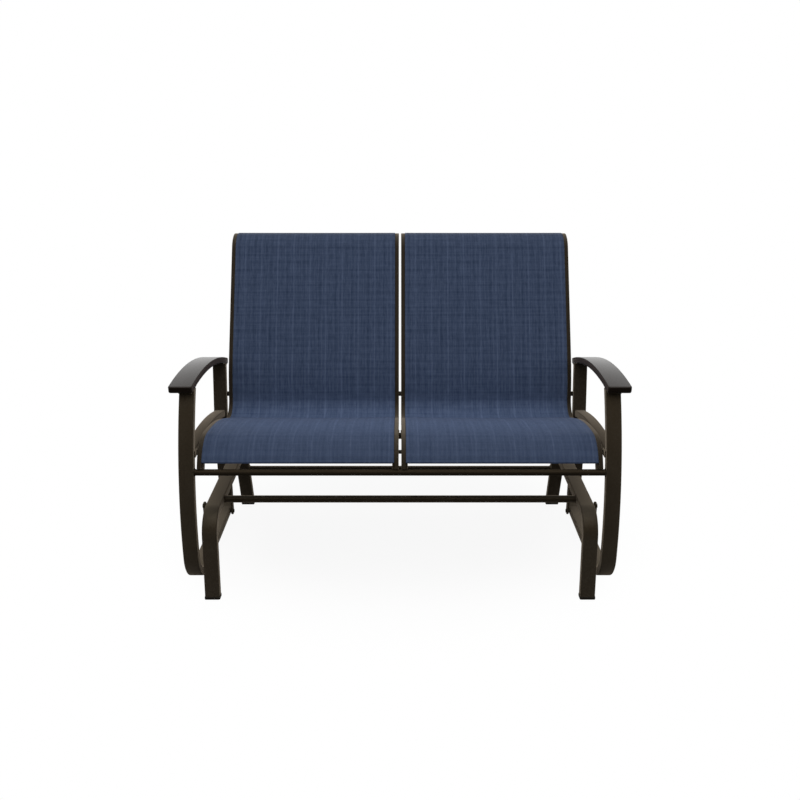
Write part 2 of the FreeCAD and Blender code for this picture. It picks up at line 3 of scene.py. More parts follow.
import bmesh
import bpy
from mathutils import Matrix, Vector


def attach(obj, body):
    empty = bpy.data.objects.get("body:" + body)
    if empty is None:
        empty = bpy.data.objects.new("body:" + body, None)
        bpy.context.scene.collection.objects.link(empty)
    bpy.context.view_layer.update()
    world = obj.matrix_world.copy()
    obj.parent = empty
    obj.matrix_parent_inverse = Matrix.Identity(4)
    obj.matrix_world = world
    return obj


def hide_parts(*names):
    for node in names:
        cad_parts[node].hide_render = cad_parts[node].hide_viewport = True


# Two-seat sling glider: a fixed base of two bent tube arches, four swing links, and a moving seat.
# Metres, +X to the right seen from the front, +Y to the back, +Z up, floor at Z 0.
# Depths are written as they are measured, behind the front faces of the front feet.

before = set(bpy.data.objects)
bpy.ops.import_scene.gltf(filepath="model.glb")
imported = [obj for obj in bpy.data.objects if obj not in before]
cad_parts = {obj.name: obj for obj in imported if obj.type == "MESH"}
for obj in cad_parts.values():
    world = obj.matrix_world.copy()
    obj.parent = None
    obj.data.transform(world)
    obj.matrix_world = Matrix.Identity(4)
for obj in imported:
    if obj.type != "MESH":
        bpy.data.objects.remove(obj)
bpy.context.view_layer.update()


# Camera
# It stands in front of the bench at eye height for a seated person and looks a little down,
# with the bench in the middle of a square picture.

FEET_TO_MIDDLE = 0.443777
CAMERA_DISTANCE = 2.2
CAMERA_HEIGHT = 1.417
CAMERA_PITCH = 19.56
CAMERA_LENS = 38.25


def at(x, depth, height):
    """Point in the frame from a depth measured behind the front feet."""
    return Vector((x, depth - FEET_TO_MIDDLE, height))


camera_data = bpy.data.cameras.new("camera")
camera_data.lens = CAMERA_LENS
camera_data.sensor_width = 36.0
camera = bpy.data.objects.new("camera", camera_data)
camera.location = at(0, -CAMERA_DISTANCE, CAMERA_HEIGHT)
camera.rotation_euler = (math.radians(90 - CAMERA_PITCH), 0, 0)
bpy.context.scene.collection.objects.link(camera)
bpy.context.scene.camera = camera
bpy.context.scene.view_settings.view_transform = "Standard"


# White studio
# A pale floor that only shows the bench's soft shadow, a white surround behind and above,
# a dark room in front where the camera stands, and one wide lamp overhead.

FLOOR_HALF = 9.0
FLOOR_WHITE = (0.94, 0.94, 0.94, 1)
FLOOR_GREY = (0.08, 0.08, 0.08, 1)
FLOOR_SHADOW_SHARE = 0.10
FLOOR_FADE = (0.45, 0.95)
FLOOR_FADE_FROM = (0.0, 0.15, 0.0)
FLOOR_BEHIND = (-0.6, 0.7)
ROOM_DARK = 0.03
ROOM_SLANT = 1.3
ROOM_TURN = (-0.7, 0.15)
SKY_TOP = 0.66
SKY_BEHIND = 1.0
PURE_WHITE = (1, 1, 1, 1)
LAMP_PLACE = (0.0, -0.9, 5.0)
LAMP_AIM = (0.0, 0.0, 0.4)
LAMP_SIZE = 5.0
LAMP_POWER = 84.0


def linked(tree, kind, inputs=(), settings=()):
    """New shader node with its settings, and its inputs set or joined."""
    node = tree.nodes.new("ShaderNode" + kind)
    for name, value in settings:
        setattr(node, name, value)
    for socket, value in inputs:
        if isinstance(value, bpy.types.NodeSocket):
            tree.links.new(value, node.inputs[socket])
        else:
            node.inputs[socket].default_value = value
    return node


def number(tree, operation, first, second=0.0, third=0.0):
    """Result of one step of arithmetic in a shader."""
    inputs = ((0, first), (1, second), (2, third))
    return linked(tree, "Math", inputs, (("operation", operation),)).outputs[0]


def part(tree, vector, axis):
    """One of a vector's three numbers."""
    return linked(tree, "SeparateXYZ", ((0, vector),)).outputs[axis]


def ranged(tree, value, from_range, to_range=(0.0, 1.0), slope="LINEAR"):
    """A value carried from one range to another and held at the ends."""
    ends = tuple(zip(("From Min", "From Max", "To Min", "To Max"), from_range + to_range))
    return linked(tree, "MapRange", (("Value", value),) + ends, (("interpolation_type", slope),)).outputs[0]


def stretched(tree, value, from_range, to_range):
    """The same with soft ends."""
    return ranged(tree, value, from_range, to_range, "SMOOTHSTEP")


def blended(tree, share, first, second):
    """Two shaders mixed."""
    return linked(tree, "MixShader", ((0, share), (1, first.outputs[0]), (2, second.outputs[0])))


def shown_white(tree, behind):
    """1 where the background shows as white: to the camera, and to gloss and glass behind the bench."""
    path = linked(tree, "LightPath").outputs
    mirrored = number(tree, "MAXIMUM", path["Is Glossy Ray"], path["Is Transmission Ray"])
    return number(tree, "MAXIMUM", path["Is Camera Ray"], number(tree, "MULTIPLY", mirrored, behind))


def white_surround():
    """White to the eye, and to the bench a pale sky behind and above with a dark room in front."""
    world = bpy.data.worlds.new("surround")
    world.use_nodes = True
    tree = world.node_tree
    tree.nodes.clear()
    way_out = linked(tree, "SeparateXYZ", ((0, linked(tree, "TexCoord").outputs["Generated"]),)).outputs
    turned = number(tree, "MULTIPLY_ADD", way_out["Z"], ROOM_SLANT, way_out["Y"])
    behind = stretched(tree, turned, ROOM_TURN, (0.0, 1.0))
    sky = stretched(tree, way_out["Z"], (0.0, 1.0), (SKY_BEHIND, SKY_TOP))
    level = number(tree, "MULTIPLY_ADD", behind, number(tree, "SUBTRACT", sky, ROOM_DARK), ROOM_DARK)
    lighting = linked(tree, "Background", (("Color", PURE_WHITE), ("Strength", level)))
    backdrop = linked(tree, "Background", (("Color", PURE_WHITE), ("Strength", 1.0)))
    both = blended(tree, shown_white(tree, behind), lighting, backdrop)
    linked(tree, "OutputWorld", (("Surface", both.outputs[0]),))
    return world


def empty_material(name):
    """New material with nothing in its node tree yet."""
    material = bpy.data.materials.new(name)
    material.use_nodes = True
    material.node_tree.nodes.clear()
    return material


def floor_white():
    """Matt grey to the light, and to the eye a white that keeps the bench's shadow close to it."""
    material = empty_material("floor_white")
    tree = material.node_tree
    place = linked(tree, "TexCoord").outputs["Object"]
    far = linked(tree, "VectorMath", ((0, place), (1, FLOOR_FADE_FROM)),
                 (("operation", "DISTANCE"),)).outputs["Value"]
    behind = stretched(tree, part(tree, place, "Y"), FLOOR_BEHIND, (0.0, 1.0))
    grey = linked(tree, "BsdfDiffuse", (("Color", FLOOR_GREY),))
    matt = linked(tree, "BsdfDiffuse", (("Color", FLOOR_WHITE),))
    glow = linked(tree, "Emission", (("Color", PURE_WHITE), ("Strength", 1.0)))
    shown = blended(tree, stretched(tree, far, FLOOR_FADE, (FLOOR_SHADOW_SHARE, 0.0)), glow, matt)
    both = blended(tree, shown_white(tree, behind), grey, shown)
    linked(tree, "OutputMaterial", (("Surface", both.outputs[0]),))
    return material


bpy.context.scene.world = white_surround()
floor_mesh = bpy.data.meshes.new("floor")
floor_corners = ((-FLOOR_HALF, -FLOOR_HALF, 0), (FLOOR_HALF, -FLOOR_HALF, 0),
                 (FLOOR_HALF, FLOOR_HALF, 0), (-FLOOR_HALF, FLOOR_HALF, 0))
floor_mesh.from_pydata(floor_corners, [], [(0, 1, 2, 3)])
floor_mesh.materials.append(floor_white())
floor = bpy.data.objects.new("floor", floor_mesh)
bpy.context.scene.collection.objects.link(floor)

lamp_data = bpy.data.lights.new("lamp", "AREA")
lamp_data.shape = "DISK"
lamp_data.size = LAMP_SIZE
lamp_data.energy = LAMP_POWER
lamp = bpy.data.objects.new("lamp", lamp_data)
lamp.location = LAMP_PLACE
lamp.rotation_euler = (Vector(LAMP_AIM) - Vector(LAMP_PLACE)).to_track_quat("-Z", "Y").to_euler()
bpy.context.scene.collection.objects.link(lamp)


# Base arches
# Each is one flat steel tube, 44.5 by 25.4 mm, bent over a former to an upside-down U
# and powder coated dark bronze after welding.

BASE_TUBE_WIDTH = 0.0445
BASE_TUBE_DEPTH = 0.0254
TUBE_CORNER = 0.004
BASE_INNER_X = 0.540
BASE_TOP_Z = 0.2655
BASE_FRONT_ANGLE = 6.6
BASE_REAR_ANGLE = 17.0
BASE_REAR_FOOT_Y = 0.634
BASE_BEND = 0.068
LEG_END_Z = 0.004
BASE_MID_X = BASE_INNER_X + BASE_TUBE_WIDTH / 2
BASE_OUTER_X = BASE_INNER_X + BASE_TUBE_WIDTH
BASE_RAIL_Z = BASE_TOP_Z - BASE_TUBE_DEPTH / 2
SIDES = (("right", 1), ("left", -1))

BRONZE = (0.033, 0.0240, 0.0140, 1)
# The paler bronze is the light side of the mottle, and also painted light on faces that point up.
BRONZE_MOTTLE_AND_LIGHT = (0.078, 0.066, 0.049, 1)
COAT_FLAKE = 0.5
COAT_ROUGH = (0.42, 0.55)
COAT_SPECULAR = 0.03
COAT_EDGE_TINT = (0.50, 0.42, 0.32, 1)
COAT_BLOOM = 0.6
COAT_BLOOM_ROUGH = 0.5
COAT_BLOOM_TINT = (0.95, 0.80, 0.62, 1)
# Faces that point up turn paler as painted light, up to this share.
TOP_LIGHT_RANGE = (0.45, 1.0)
TOP_LIGHT_MOST = 0.85
EDGE_POINTINESS = (0.51, 0.57)
EDGE_ROUGHER = 0.35
# Painted highlight along convex edges, broken up in specks.
EDGE_HIGHLIGHT_SPECKS = (0.45, 0.65)
EDGE_HIGHLIGHT_SHARE = 0.3
CLOUDS_PER_METRE = 14.0
CLOUD_SPREAD = (0.3, 0.7)
CLOUD_SHARE = 0.5
SPECKS_PER_METRE = 260.0
SPECK_SHARE = 0.3
MOTTLE_FLOOR = 0.35
PEEL_PER_METRE = 620.0
PEEL_HEIGHT = 0.00006
SKIN_SHARP_ANGLE = 38


def noise(tree, place, per_metre, detail, roughness=0.5):
    """Cloudy noise with so many grains to the metre, the same all ways or counted along each axis."""
    if isinstance(per_metre, tuple):
        place = linked(tree, "Mapping", (("Vector", place), ("Scale", per_metre))).outputs[0]
        per_metre = 1.0
    return linked(tree, "TexNoise", (("Vector", place), ("Scale", per_metre), ("Detail", detail),
                                     ("Roughness", roughness))).outputs["Fac"]


def mixed(tree, share, first, second, blend="MIX"):
    """Two colours mixed, the share held between 0 and 1."""
    return linked(tree, "Mix", (("Factor", share), (6, first), (7, second)),
                  (("data_type", "RGBA"), ("blend_type", blend), ("clamp_factor", True))).outputs[2]


def surfaced(material, colour, rough, relief, sockets):
    """Material finished with its colour, roughness, fine relief and plain sockets."""
    tree = material.node_tree
    strength, distance, height = relief
    bump = linked(tree, "Bump", (("Strength", strength), ("Distance", distance), ("Height", height)))
    shader = linked(tree, "BsdfPrincipled", (("Base Color", colour), ("Roughness", rough),
                                             ("Normal", bump.outputs[0])) + sockets)
    linked(tree, "OutputMaterial", (("Surface", shader.outputs[0]),))
    return material


def powder_coat(name, body_colour, mottle_and_light_colour, bloom, rough_range, flake=COAT_FLAKE):
    """Sprayed and baked powder: orange peel, cloudy gloss, painted light on what faces up, and painted edge
    highlights.
    """
    material = empty_material(name)
    tree = material.node_tree
    place = linked(tree, "TexCoord").outputs["Object"]
    shape = linked(tree, "NewGeometry").outputs
    peel = noise(tree, place, PEEL_PER_METRE, 2.0)
    clouds = noise(tree, place, CLOUDS_PER_METRE, 4.0)
    specks = noise(tree, place, SPECKS_PER_METRE, 1.0)
    edge = ranged(tree, shape["Pointiness"], EDGE_POINTINESS)
    # Painted highlight: convex edges turn paler, broken up in specks.
    painted_edge_highlight = number(tree, "MULTIPLY", edge, ranged(tree, specks, EDGE_HIGHLIGHT_SPECKS))
    # Painted light: the colour turns paler on faces that point up, standing in for light from above.
    mottle_and_painted_light = ranged(tree, part(tree, shape["Normal"], "Z"), TOP_LIGHT_RANGE, (0.0, TOP_LIGHT_MOST))
    for what, share in ((clouds, CLOUD_SHARE), (specks, SPECK_SHARE), (painted_edge_highlight, EDGE_HIGHLIGHT_SHARE)):
        mottle_and_painted_light = number(tree, "MULTIPLY_ADD", what, share, mottle_and_painted_light)
    colour = mixed(tree, number(tree, "SUBTRACT", mottle_and_painted_light, MOTTLE_FLOOR), body_colour, mottle_and_light_colour)
    rough = ranged(tree, clouds, CLOUD_SPREAD, rough_range)
    rough = number(tree, "MULTIPLY_ADD", edge, EDGE_ROUGHER, rough)
    return surfaced(material, colour, rough, (1.0, PEEL_HEIGHT, peel), (
        ("Metallic", flake), ("Specular Tint", COAT_EDGE_TINT), ("Specular IOR Level", COAT_SPECULAR),
        ("Sheen Weight", bloom), ("Sheen Roughness", COAT_BLOOM_ROUGH), ("Sheen Tint", COAT_BLOOM_TINT)))


def way(heading):
    """Unit vector in the side plane, heading in degrees up from +Y."""
    return Vector((0, math.cos(math.radians(heading)), math.sin(math.radians(heading))))


def straight(length):
    """Straight run of a bent tube or bar."""
    return ("straight", length, 0.0)


def curve(radius, turn):
    """Bend, its turn in degrees and positive upward."""
    return ("curve", radius, turn)


def stations(point, heading, steps, longest=0.016, sharpest=4.0):
    """Places and headings along straight runs and bends, close enough to look round."""
    found = [(point, heading)]
    for kind, size, turn in steps:
        if kind == "straight":
            point = point + way(heading) * size
            found.append((point, heading))
            continue
        count = max(math.ceil(abs(turn) / sharpest), math.ceil(size * math.radians(abs(turn)) / longest))
        side = math.copysign(size, turn)
        centre = point + way(heading + 90) * side
        for i in range(1, count + 1):
            here = heading + turn * i / count
            found.append((centre - way(here + 90) * side, here))
        point, heading = found[-1]
    return found


def rounded_outline(mid_x, width, depth, corner, steps=4):
    """Rectangle with rounded corners, as points across and up."""
    points = []
    for quarter, (sx, sz) in enumerate(((1, 1), (-1, 1), (-1, -1), (1, -1))):
        for i in range(steps + 1):
            angle = math.radians(90 * quarter + 90 * i / steps)
            points.append((mid_x + sx * (width / 2 - corner) + corner * math.cos(angle),
                           sz * (depth / 2 - corner) + corner * math.sin(angle)))
    return points


def placed(name, work, material, body):
    """Finished mesh work as a smooth piece that rides on its body."""
    bmesh.ops.recalc_face_normals(work, faces=work.faces)
    mesh = bpy.data.meshes.new(name)
    work.to_mesh(mesh)
    work.free()
    mesh.polygons.foreach_set("use_smooth", [True] * len(mesh.polygons))
    mesh.materials.append(material)
    piece = bpy.data.objects.new(name, mesh)
    bpy.context.scene.collection.objects.link(piece)
    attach(piece, body)
    return piece


def skins(name, groups, material, body):
    """One piece of closed skins, each of rings of points joined in order with a lid on each end."""
    work = bmesh.new()
    for rings in groups:
        rows = [[work.verts.new(point) for point in ring] for ring in rings]
        count = len(rings[0])
        for low, high in zip(rows, rows[1:]):
            for i in range(count):
                work.faces.new((low[i], low[(i + 1) % count], high[(i + 1) % count], high[i]))
        work.faces.new(rows[0][::-1])
        work.faces.new(rows[-1])
    piece = placed(name, work, material, body)
    piece.data.set_sharp_from_angle(angle=math.radians(SKIN_SHARP_ANGLE))
    return piece


def skinned(name, rings, material, body):
    """One closed skin as a piece."""
    return skins(name, [rings], material, body)


def carried(outline, places, cut_start=None, cut_end=None):
    """Rings of an outline stood square to a path, the first and last slid along it to a cut."""
    rings = [[point + way(heading + 90) * up + Vector((across, 0, 0)) for across, up in outline]
             for point, heading in places]
    if cut_start:
        rings[0] = [cut_start(point, way(places[0][1])) for point in rings[0]]
    if cut_end:
        rings[-1] = [cut_end(point, way(places[-1][1])) for point in rings[-1]]
    return rings


def to_level(height):
    """Cut that slides a point along its tube to a level."""
    return lambda point, along: point + along * ((height - point.z) / along.z)


def base_arch_places():
    """Middle line of the arch from the front foot over to the rear foot."""
    front_slope = math.tan(math.radians(BASE_FRONT_ANGLE))
    rear_slope = math.tan(math.radians(BASE_REAR_ANGLE))
    front_floor = at(0, BASE_TUBE_DEPTH / 2 / math.cos(math.radians(BASE_FRONT_ANGLE)), 0)
    rear_floor = at(0, BASE_REAR_FOOT_Y + BASE_TUBE_DEPTH / 2 / math.cos(math.radians(BASE_REAR_ANGLE)), 0)
    front_knee = front_floor + Vector((0, BASE_RAIL_Z * front_slope, BASE_RAIL_Z))
    rear_knee = rear_floor + Vector((0, -BASE_RAIL_Z * rear_slope, BASE_RAIL_Z))
    front_turn = 90 - BASE_FRONT_ANGLE
    rear_turn = 90 - BASE_REAR_ANGLE
    front_trim = BASE_BEND * math.tan(math.radians(front_turn / 2))
    rear_trim = BASE_BEND * math.tan(math.radians(rear_turn / 2))
    return stations(front_floor, front_turn, [
        straight((front_knee - front_floor).length - front_trim),
        curve(BASE_BEND, -front_turn),
        straight((rear_knee - front_knee).length - front_trim - rear_trim),
        curve(BASE_BEND, -rear_turn),
        straight((rear_floor - rear_knee).length - rear_trim),
    ])


bronze = powder_coat("bronze_powder_coat", BRONZE, BRONZE_MOTTLE_AND_LIGHT, COAT_BLOOM, COAT_ROUGH)
arch_places = base_arch_places()
for side, sign in SIDES:
    outline = rounded_outline(sign * BASE_MID_X, BASE_TUBE_WIDTH, BASE_TUBE_DEPTH, TUBE_CORNER)
    rings = carried(outline, arch_places, to_level(LEG_END_Z), to_level(LEG_END_Z))
    arch = skinned("base_arch_" + side, rings, bronze, "base")
    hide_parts("base_arches")


# Foot caps
# Moulded black cups pressed over the leg ends, with a rounded sole and a small lip at the top.
# They keep the tube off the floor and take up its slope.

CAP_WALL = 0.00105
CAP_HEIGHT = 0.009
CAP_PROFILE = ((0.0, -0.0013), (0.0004, -0.0005), (0.0012, 0.0), (0.0072, 0.0), (0.0078, -0.0002),
               (CAP_HEIGHT, -0.0006))
CAP_BLACK = (0.016, 0.013, 0.009, 1)
CAP_WORN = (0.028, 0.024, 0.019, 1)
CAP_GRAIN_PER_METRE = 900.0
CAP_GRAIN_HEIGHT = 0.00008
CAP_GRAIN_STRENGTH = 0.6
CAP_SCUFFS_PER_METRE = 90.0
CAP_SCUFFED = (0.5, 0.75)
CAP_ROUGH = (0.45, 0.7)
CAP_SPECULAR = 0.15


def moulded_plastic():
    """Black plastic with a spark-eroded grain and paler scuffs."""
    material = empty_material("cap_plastic")
    tree = material.node_tree
    place = linked(tree, "TexCoord").outputs["Object"]
    grain = noise(tree, place, CAP_GRAIN_PER_METRE, 3.0)
    scuffs = noise(tree, place, CAP_SCUFFS_PER_METRE, 5.0, 0.7)
    colour = mixed(tree, ranged(tree, scuffs, CAP_SCUFFED), CAP_BLACK, CAP_WORN)
    rough = ranged(tree, scuffs, (0.0, 1.0), CAP_ROUGH)
    return surfaced(material, colour, rough, (CAP_GRAIN_STRENGTH, CAP_GRAIN_HEIGHT, grain),
                    (("Specular IOR Level", CAP_SPECULAR),))


def foot_cap(name, mid_x, foot, heading):
    """Cup round one leg end: rings from the sole up, each slid along the leg to its level."""
    rings = []
    for height, grow in CAP_PROFILE:
        outline = rounded_outline(mid_x, BASE_TUBE_WIDTH + 2 * (CAP_WALL + grow),
                                  BASE_TUBE_DEPTH + 2 * (CAP_WALL + grow), TUBE_CORNER)
        square = carried(outline, [(foot, heading)])[0]
        rings.append([to_level(height)(point, way(heading)) for point in square])
    return skinned(name, rings, cap_plastic, "base")


cap_plastic = moulded_plastic()
for side, sign in SIDES:
    for place, foot, heading in (("front", *arch_places[0]), ("rear", *arch_places[-1])):
        cap = foot_cap("foot_cap_moulding_%s_%s" % (place, side), sign * BASE_MID_X, foot, heading)
        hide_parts("foot_cap_%s_%s" % (place, side))


# Base stretchers
# Two round steel tubes, 22.2 mm, welded square to the inner faces of the arches.
# The weld is a small rippled fillet all round, coated with the rest.

BASE_STRETCHER_DIA = 0.0222
BASE_FRONT_STRETCHER_Y = 0.166
BASE_REAR_STRETCHER_Z = 0.160
WELD_LEG = 0.0035
WELD_HOLLOW = 0.7
WELD_STEPS = (0.0, 0.2, 0.45, 0.7, 1.0)
WELD_RIPPLES = 26
WELD_RIPPLE = 0.0004
ROUND_SIDES = 104


def ring_across(x, depth, height, radius, sides=ROUND_SIDES, ripple=0.0):
    """Circle square to X, waved round its edge by the ripple."""
    points = []
    for i in range(sides):
        angle = 2 * math.pi * i / sides
        reach = radius + ripple * math.cos(WELD_RIPPLES * angle)
        points.append(at(x, depth + reach * math.cos(angle), height + reach * math.sin(angle)))
    return points


def weld_fillet():
    """Steps away from the welded face, each with how far the bead stands out there and its ripple."""
    fillet = []
    for share in WELD_STEPS:
        hollow, flat = 1 - math.sqrt(1 - (1 - share) ** 2), 1 - share
        rise = WELD_LEG * (WELD_HOLLOW * hollow + (1 - WELD_HOLLOW) * flat)
        fillet.append((WELD_LEG * share, rise, WELD_RIPPLE * flat))
    return fillet


def welded_bar(name, diameter, half_length, depth, height, coat, body, replaced):
    """Round tube across the bench with a weld fillet at each end."""
    fillet = weld_fillet()
    ends = [(-half_length + step, rise, wave) for step, rise, wave in fillet]
    ends += [(half_length - step, rise, wave) for step, rise, wave in reversed(fillet)]
    rings = [ring_across(x, depth, height, diameter / 2 + rise, ripple=wave) for x, rise, wave in ends]
    bar = skinned(name, rings, coat, body)
    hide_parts(replaced)


rear_leg_depth = (BASE_REAR_FOOT_Y + BASE_TUBE_DEPTH / 2 / math.cos(math.radians(BASE_REAR_ANGLE))
                  - BASE_REAR_STRETCHER_Z * math.tan(math.radians(BASE_REAR_ANGLE)))
welded_bar("base_front_tube", BASE_STRETCHER_DIA, BASE_INNER_X, BASE_FRONT_STRETCHER_Y, BASE_RAIL_Z,
           bronze, "base", "base_front_stretcher")
welded_bar("base_rear_tube", BASE_STRETCHER_DIA, BASE_INNER_X, rear_leg_depth, BASE_REAR_STRETCHER_Z,
           bronze, "base", "base_rear_stretcher")


# Swing links
# Four flat bars with round ends, blanked from 6 mm steel, that hang on the base and carry the seat.
# Each turns on a stud at either end.

PIVOT_GAP = 0.014
PIVOT_DEPTHS = (("front", 0.120), ("rear", 0.500))
LINK_THICK = 0.006
LINK_WIDTH = 0.025
LINK_EDGE = 0.0008
LINK_END_STEPS = 24
LINK_PROFILE = ((0, LINK_EDGE), (LINK_EDGE * 0.3, LINK_EDGE * 0.3), (LINK_EDGE, 0),
                (LINK_THICK - LINK_EDGE, 0), (LINK_THICK - LINK_EDGE * 0.3, LINK_EDGE * 0.3),
                (LINK_THICK, LINK_EDGE))
GAP_MID_X = BASE_OUTER_X + PIVOT_GAP / 2
FRAME_RAIL_Z = 0.0427


def link_ring(x, depth, radius):
    """Outline of the bar with its round ends, square to X."""
    points = []
    for centre, first in ((BASE_RAIL_Z, 0), (FRAME_RAIL_Z, 180)):
        for i in range(LINK_END_STEPS + 1):
            angle = math.radians(first + 180 * i / LINK_END_STEPS)
            points.append(at(x, depth + radius * math.cos(angle), centre + radius * math.sin(angle)))
    return points


for side, sign in SIDES:
    for place, depth in PIVOT_DEPTHS:
        rings = [link_ring(sign * (GAP_MID_X - LINK_THICK / 2 + step), depth, LINK_WIDTH / 2 - inset)
                 for step, inset in LINK_PROFILE]
        link = skinned("link_bar_%s_%s" % (place, side), rings, bronze, "link_%s_%s" % (place, side))
        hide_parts("swing_link_%s_%s" % (place, side))


# Pivot studs
# Dark plated 8 mm studs with a thin jam nut against the tube and a lock nut outside the link.
# The upper ones are welded to the base rail and the lower ones to the seat's rail.

STUD_DIA = 0.008
STUD_SIDES = 36
STUD_CHAMFER = 0.0006
STUD_CHAMFER_LENGTH = 0.0004
STUD_PROUD = 0.0006
NUT_FLATS = 0.013
NUT_CHAMFER = 0.0007
NUT_FACE = 0.99
NUT_POINTS = 72
LOCK_NUT_THICK = 0.003
SIDE_PLAY = 0.0003
JAM_THICK = (PIVOT_GAP - LINK_THICK) / 2 - SIDE_PLAY
STUD_END = PIVOT_GAP / 2 + LINK_THICK / 2 + SIDE_PLAY + LOCK_NUT_THICK
PLATED = (0.032, 0.028, 0.023, 1)
# The duller plated tone is both random mottle and painted light on faces that point up.
PLATED_MOTTLE_AND_LIGHT = (0.060, 0.054, 0.046, 1)
PLATED_ROUGH = (0.28, 0.42)
PLATED_METAL = 0.9
LEVELS = (("upper", BASE_OUTER_X, 1, BASE_RAIL_Z, "base"),
          ("lower", BASE_OUTER_X + PIVOT_GAP, -1, FRAME_RAIL_Z, "glider"))


def off_flat(angle):
    """Cosine between a direction and the nearest flat of a hexagon."""
    return math.cos((angle + math.pi / 6) % (math.pi / 3) - math.pi / 6)


def nut_rings(x0, x1, depth, height):
    """Nut between two faces, a hexagon cut back to a circle at both."""
    face, corners = NUT_FLATS / 2 * NUT_FACE, NUT_FLATS / math.sqrt(3)
    chamfer = math.copysign(NUT_CHAMFER, x1 - x0)
    rings = []
    for x, limit in ((x0, face), (x0 + chamfer, corners), (x1 - chamfer, corners), (x1, face)):
        ring = []
        for i in range(NUT_POINTS):
            angle = 2 * math.pi * i / NUT_POINTS
            reach = min(NUT_FLATS / 2 / off_flat(angle), limit)
            ring.append(at(x, depth + reach * math.cos(angle), height + reach * math.sin(angle)))
        rings.append(ring)
    return rings


def stud_set(sign, face_x, outward, depth, height):
    """Rings of a stud standing on a face and of its two nuts."""
    def along(step):
        return sign * (face_x + outward * step)
    shank = [ring_across(along(step), depth, height, STUD_DIA / 2 - inset, STUD_SIDES) for step, inset in
             ((0, 0), (STUD_END - STUD_CHAMFER_LENGTH, 0), (STUD_END, STUD_CHAMFER))]
    jam = nut_rings(along(0), along(JAM_THICK), depth, height)
    lock = nut_rings(along(STUD_END - LOCK_NUT_THICK), along(STUD_END - STUD_PROUD), depth, height)
    return (("stud", shank), ("jam_nut", jam), ("lock_nut", lock))


plated = powder_coat("plated_hardware", PLATED, PLATED_MOTTLE_AND_LIGHT, 0.0, PLATED_ROUGH, PLATED_METAL)
for side, sign in SIDES:
    for place, depth in PIVOT_DEPTHS:
        for level, face_x, outward, height, body in LEVELS:
            for kind, rings in stud_set(sign, face_x, outward, depth, height):
                name = "%s_%s_%s_%s" % (kind, level, place, side)
                piece = skinned(name, rings, plated, body)
                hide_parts(level + "_pivot_studs")


# Arms
# Arched slabs, 70 by 20 mm, moulded in a near-black resin with every edge rounded.
# Each is screwed from below to two curved steel pads on the post tops.

FRAME_TUBE_WIDTH = 0.0445
FRAME_TUBE_DEPTH = 0.0254
FRAME_INNER_X = BASE_OUTER_X + PIVOT_GAP
FRAME_MID_X = FRAME_INNER_X + FRAME_TUBE_WIDTH / 2
ARM_WIDTH = 0.070
ARM_THICK = 0.020
ARM_RADIUS = 1.180
ARM_PEAK_Y = 0.224
ARM_PEAK_Z = 0.6397
ARM_FRONT_Y = 0.112
ARM_REAR_Y = 0.642
ARM_EDGE = 0.0038
ARM_CORNER = 0.008
PAD_THICK = 0.003
ARM_BLACK = (0.005, 0.0025, 0.0012, 1)
ARM_BROWN = (0.019, 0.0125, 0.0085, 1)
# Paler brown painted on the arm's sides as light falling on them.
ARM_SIDE_PAINTED_LIGHT = (0.060, 0.044, 0.035, 1)
ARM_LINES_PER_METRE = (900.0, 14.0, 120.0)
ARM_PATCHES_PER_METRE = 9.0
ARM_BROWN_SHARE = 0.7
ARM_SIDE_LIGHT_RANGE = (0.8, 1.0)
ARM_SIDE_LIGHT_MOST = 1.1
ARM_ROUGH = (0.12, 0.19)
ARM_MATT_SIDES = (0.5, 0.95)
ARM_SIDES_ROUGHER = 0.30
ARM_MATT_EDGES = (0.505, 0.55)
ARM_EDGES_ROUGHER = 0.55
ARM_SPECULAR = 0.27
ARM_SPECULAR_TINT = (1.0, 0.95, 0.90, 1)
ARM_RELIEF = (0.5, 0.00004)
ARM_END_STEPS = (0.0, 0.0004, 0.0012, 0.0024, ARM_EDGE, 0.0055, ARM_CORNER)
ARM_STEPS = 40
ARM_CENTRE = at(0, ARM_PEAK_Y, ARM_PEAK_Z - ARM_RADIUS)


def arm_resin():
    """Resin with faint drawn lines and browner patches, polished on top, matt on its sides and edges, with
    painted light paler on its sides.
    """
    material = empty_material("arm_resin")
    tree = material.node_tree
    place = linked(tree, "TexCoord").outputs["Object"]
    shape = linked(tree, "NewGeometry").outputs
    lines = noise(tree, place, ARM_LINES_PER_METRE, 3.0)
    patches = noise(tree, place, ARM_PATCHES_PER_METRE, 3.0)
    shade = number(tree, "MULTIPLY_ADD", lines, 0.5, number(tree, "MULTIPLY", patches, 0.5))
    colour = mixed(tree, number(tree, "MULTIPLY", shade, ARM_BROWN_SHARE), ARM_BLACK, ARM_BROWN)
    sideways = number(tree, "ABSOLUTE", part(tree, shape["Normal"], "X"))
    # Painted light: the colour turns paler where the face points sideways.
    colour = mixed(tree, stretched(tree, sideways, ARM_SIDE_LIGHT_RANGE, (0.0, ARM_SIDE_LIGHT_MOST)), colour, ARM_SIDE_PAINTED_LIGHT)
    rough = ranged(tree, lines, (0.0, 1.0), ARM_ROUGH)
    for what, reach, rougher in ((sideways, ARM_MATT_SIDES, ARM_SIDES_ROUGHER),
                                 (shape["Pointiness"], ARM_MATT_EDGES, ARM_EDGES_ROUGHER)):
        rough = number(tree, "ADD", rough, stretched(tree, what, reach, (0.0, rougher)))
    return surfaced(material, colour, rough, (*ARM_RELIEF, lines), (
        ("Specular IOR Level", ARM_SPECULAR), ("Specular Tint", ARM_SPECULAR_TINT)))


def rounded_off(distance, radius):
    """How far an edge of this radius has drawn in at a distance from its end."""
    if distance >= radius:
        return 0.0
    return radius - math.sqrt(radius ** 2 - (radius - distance) ** 2)


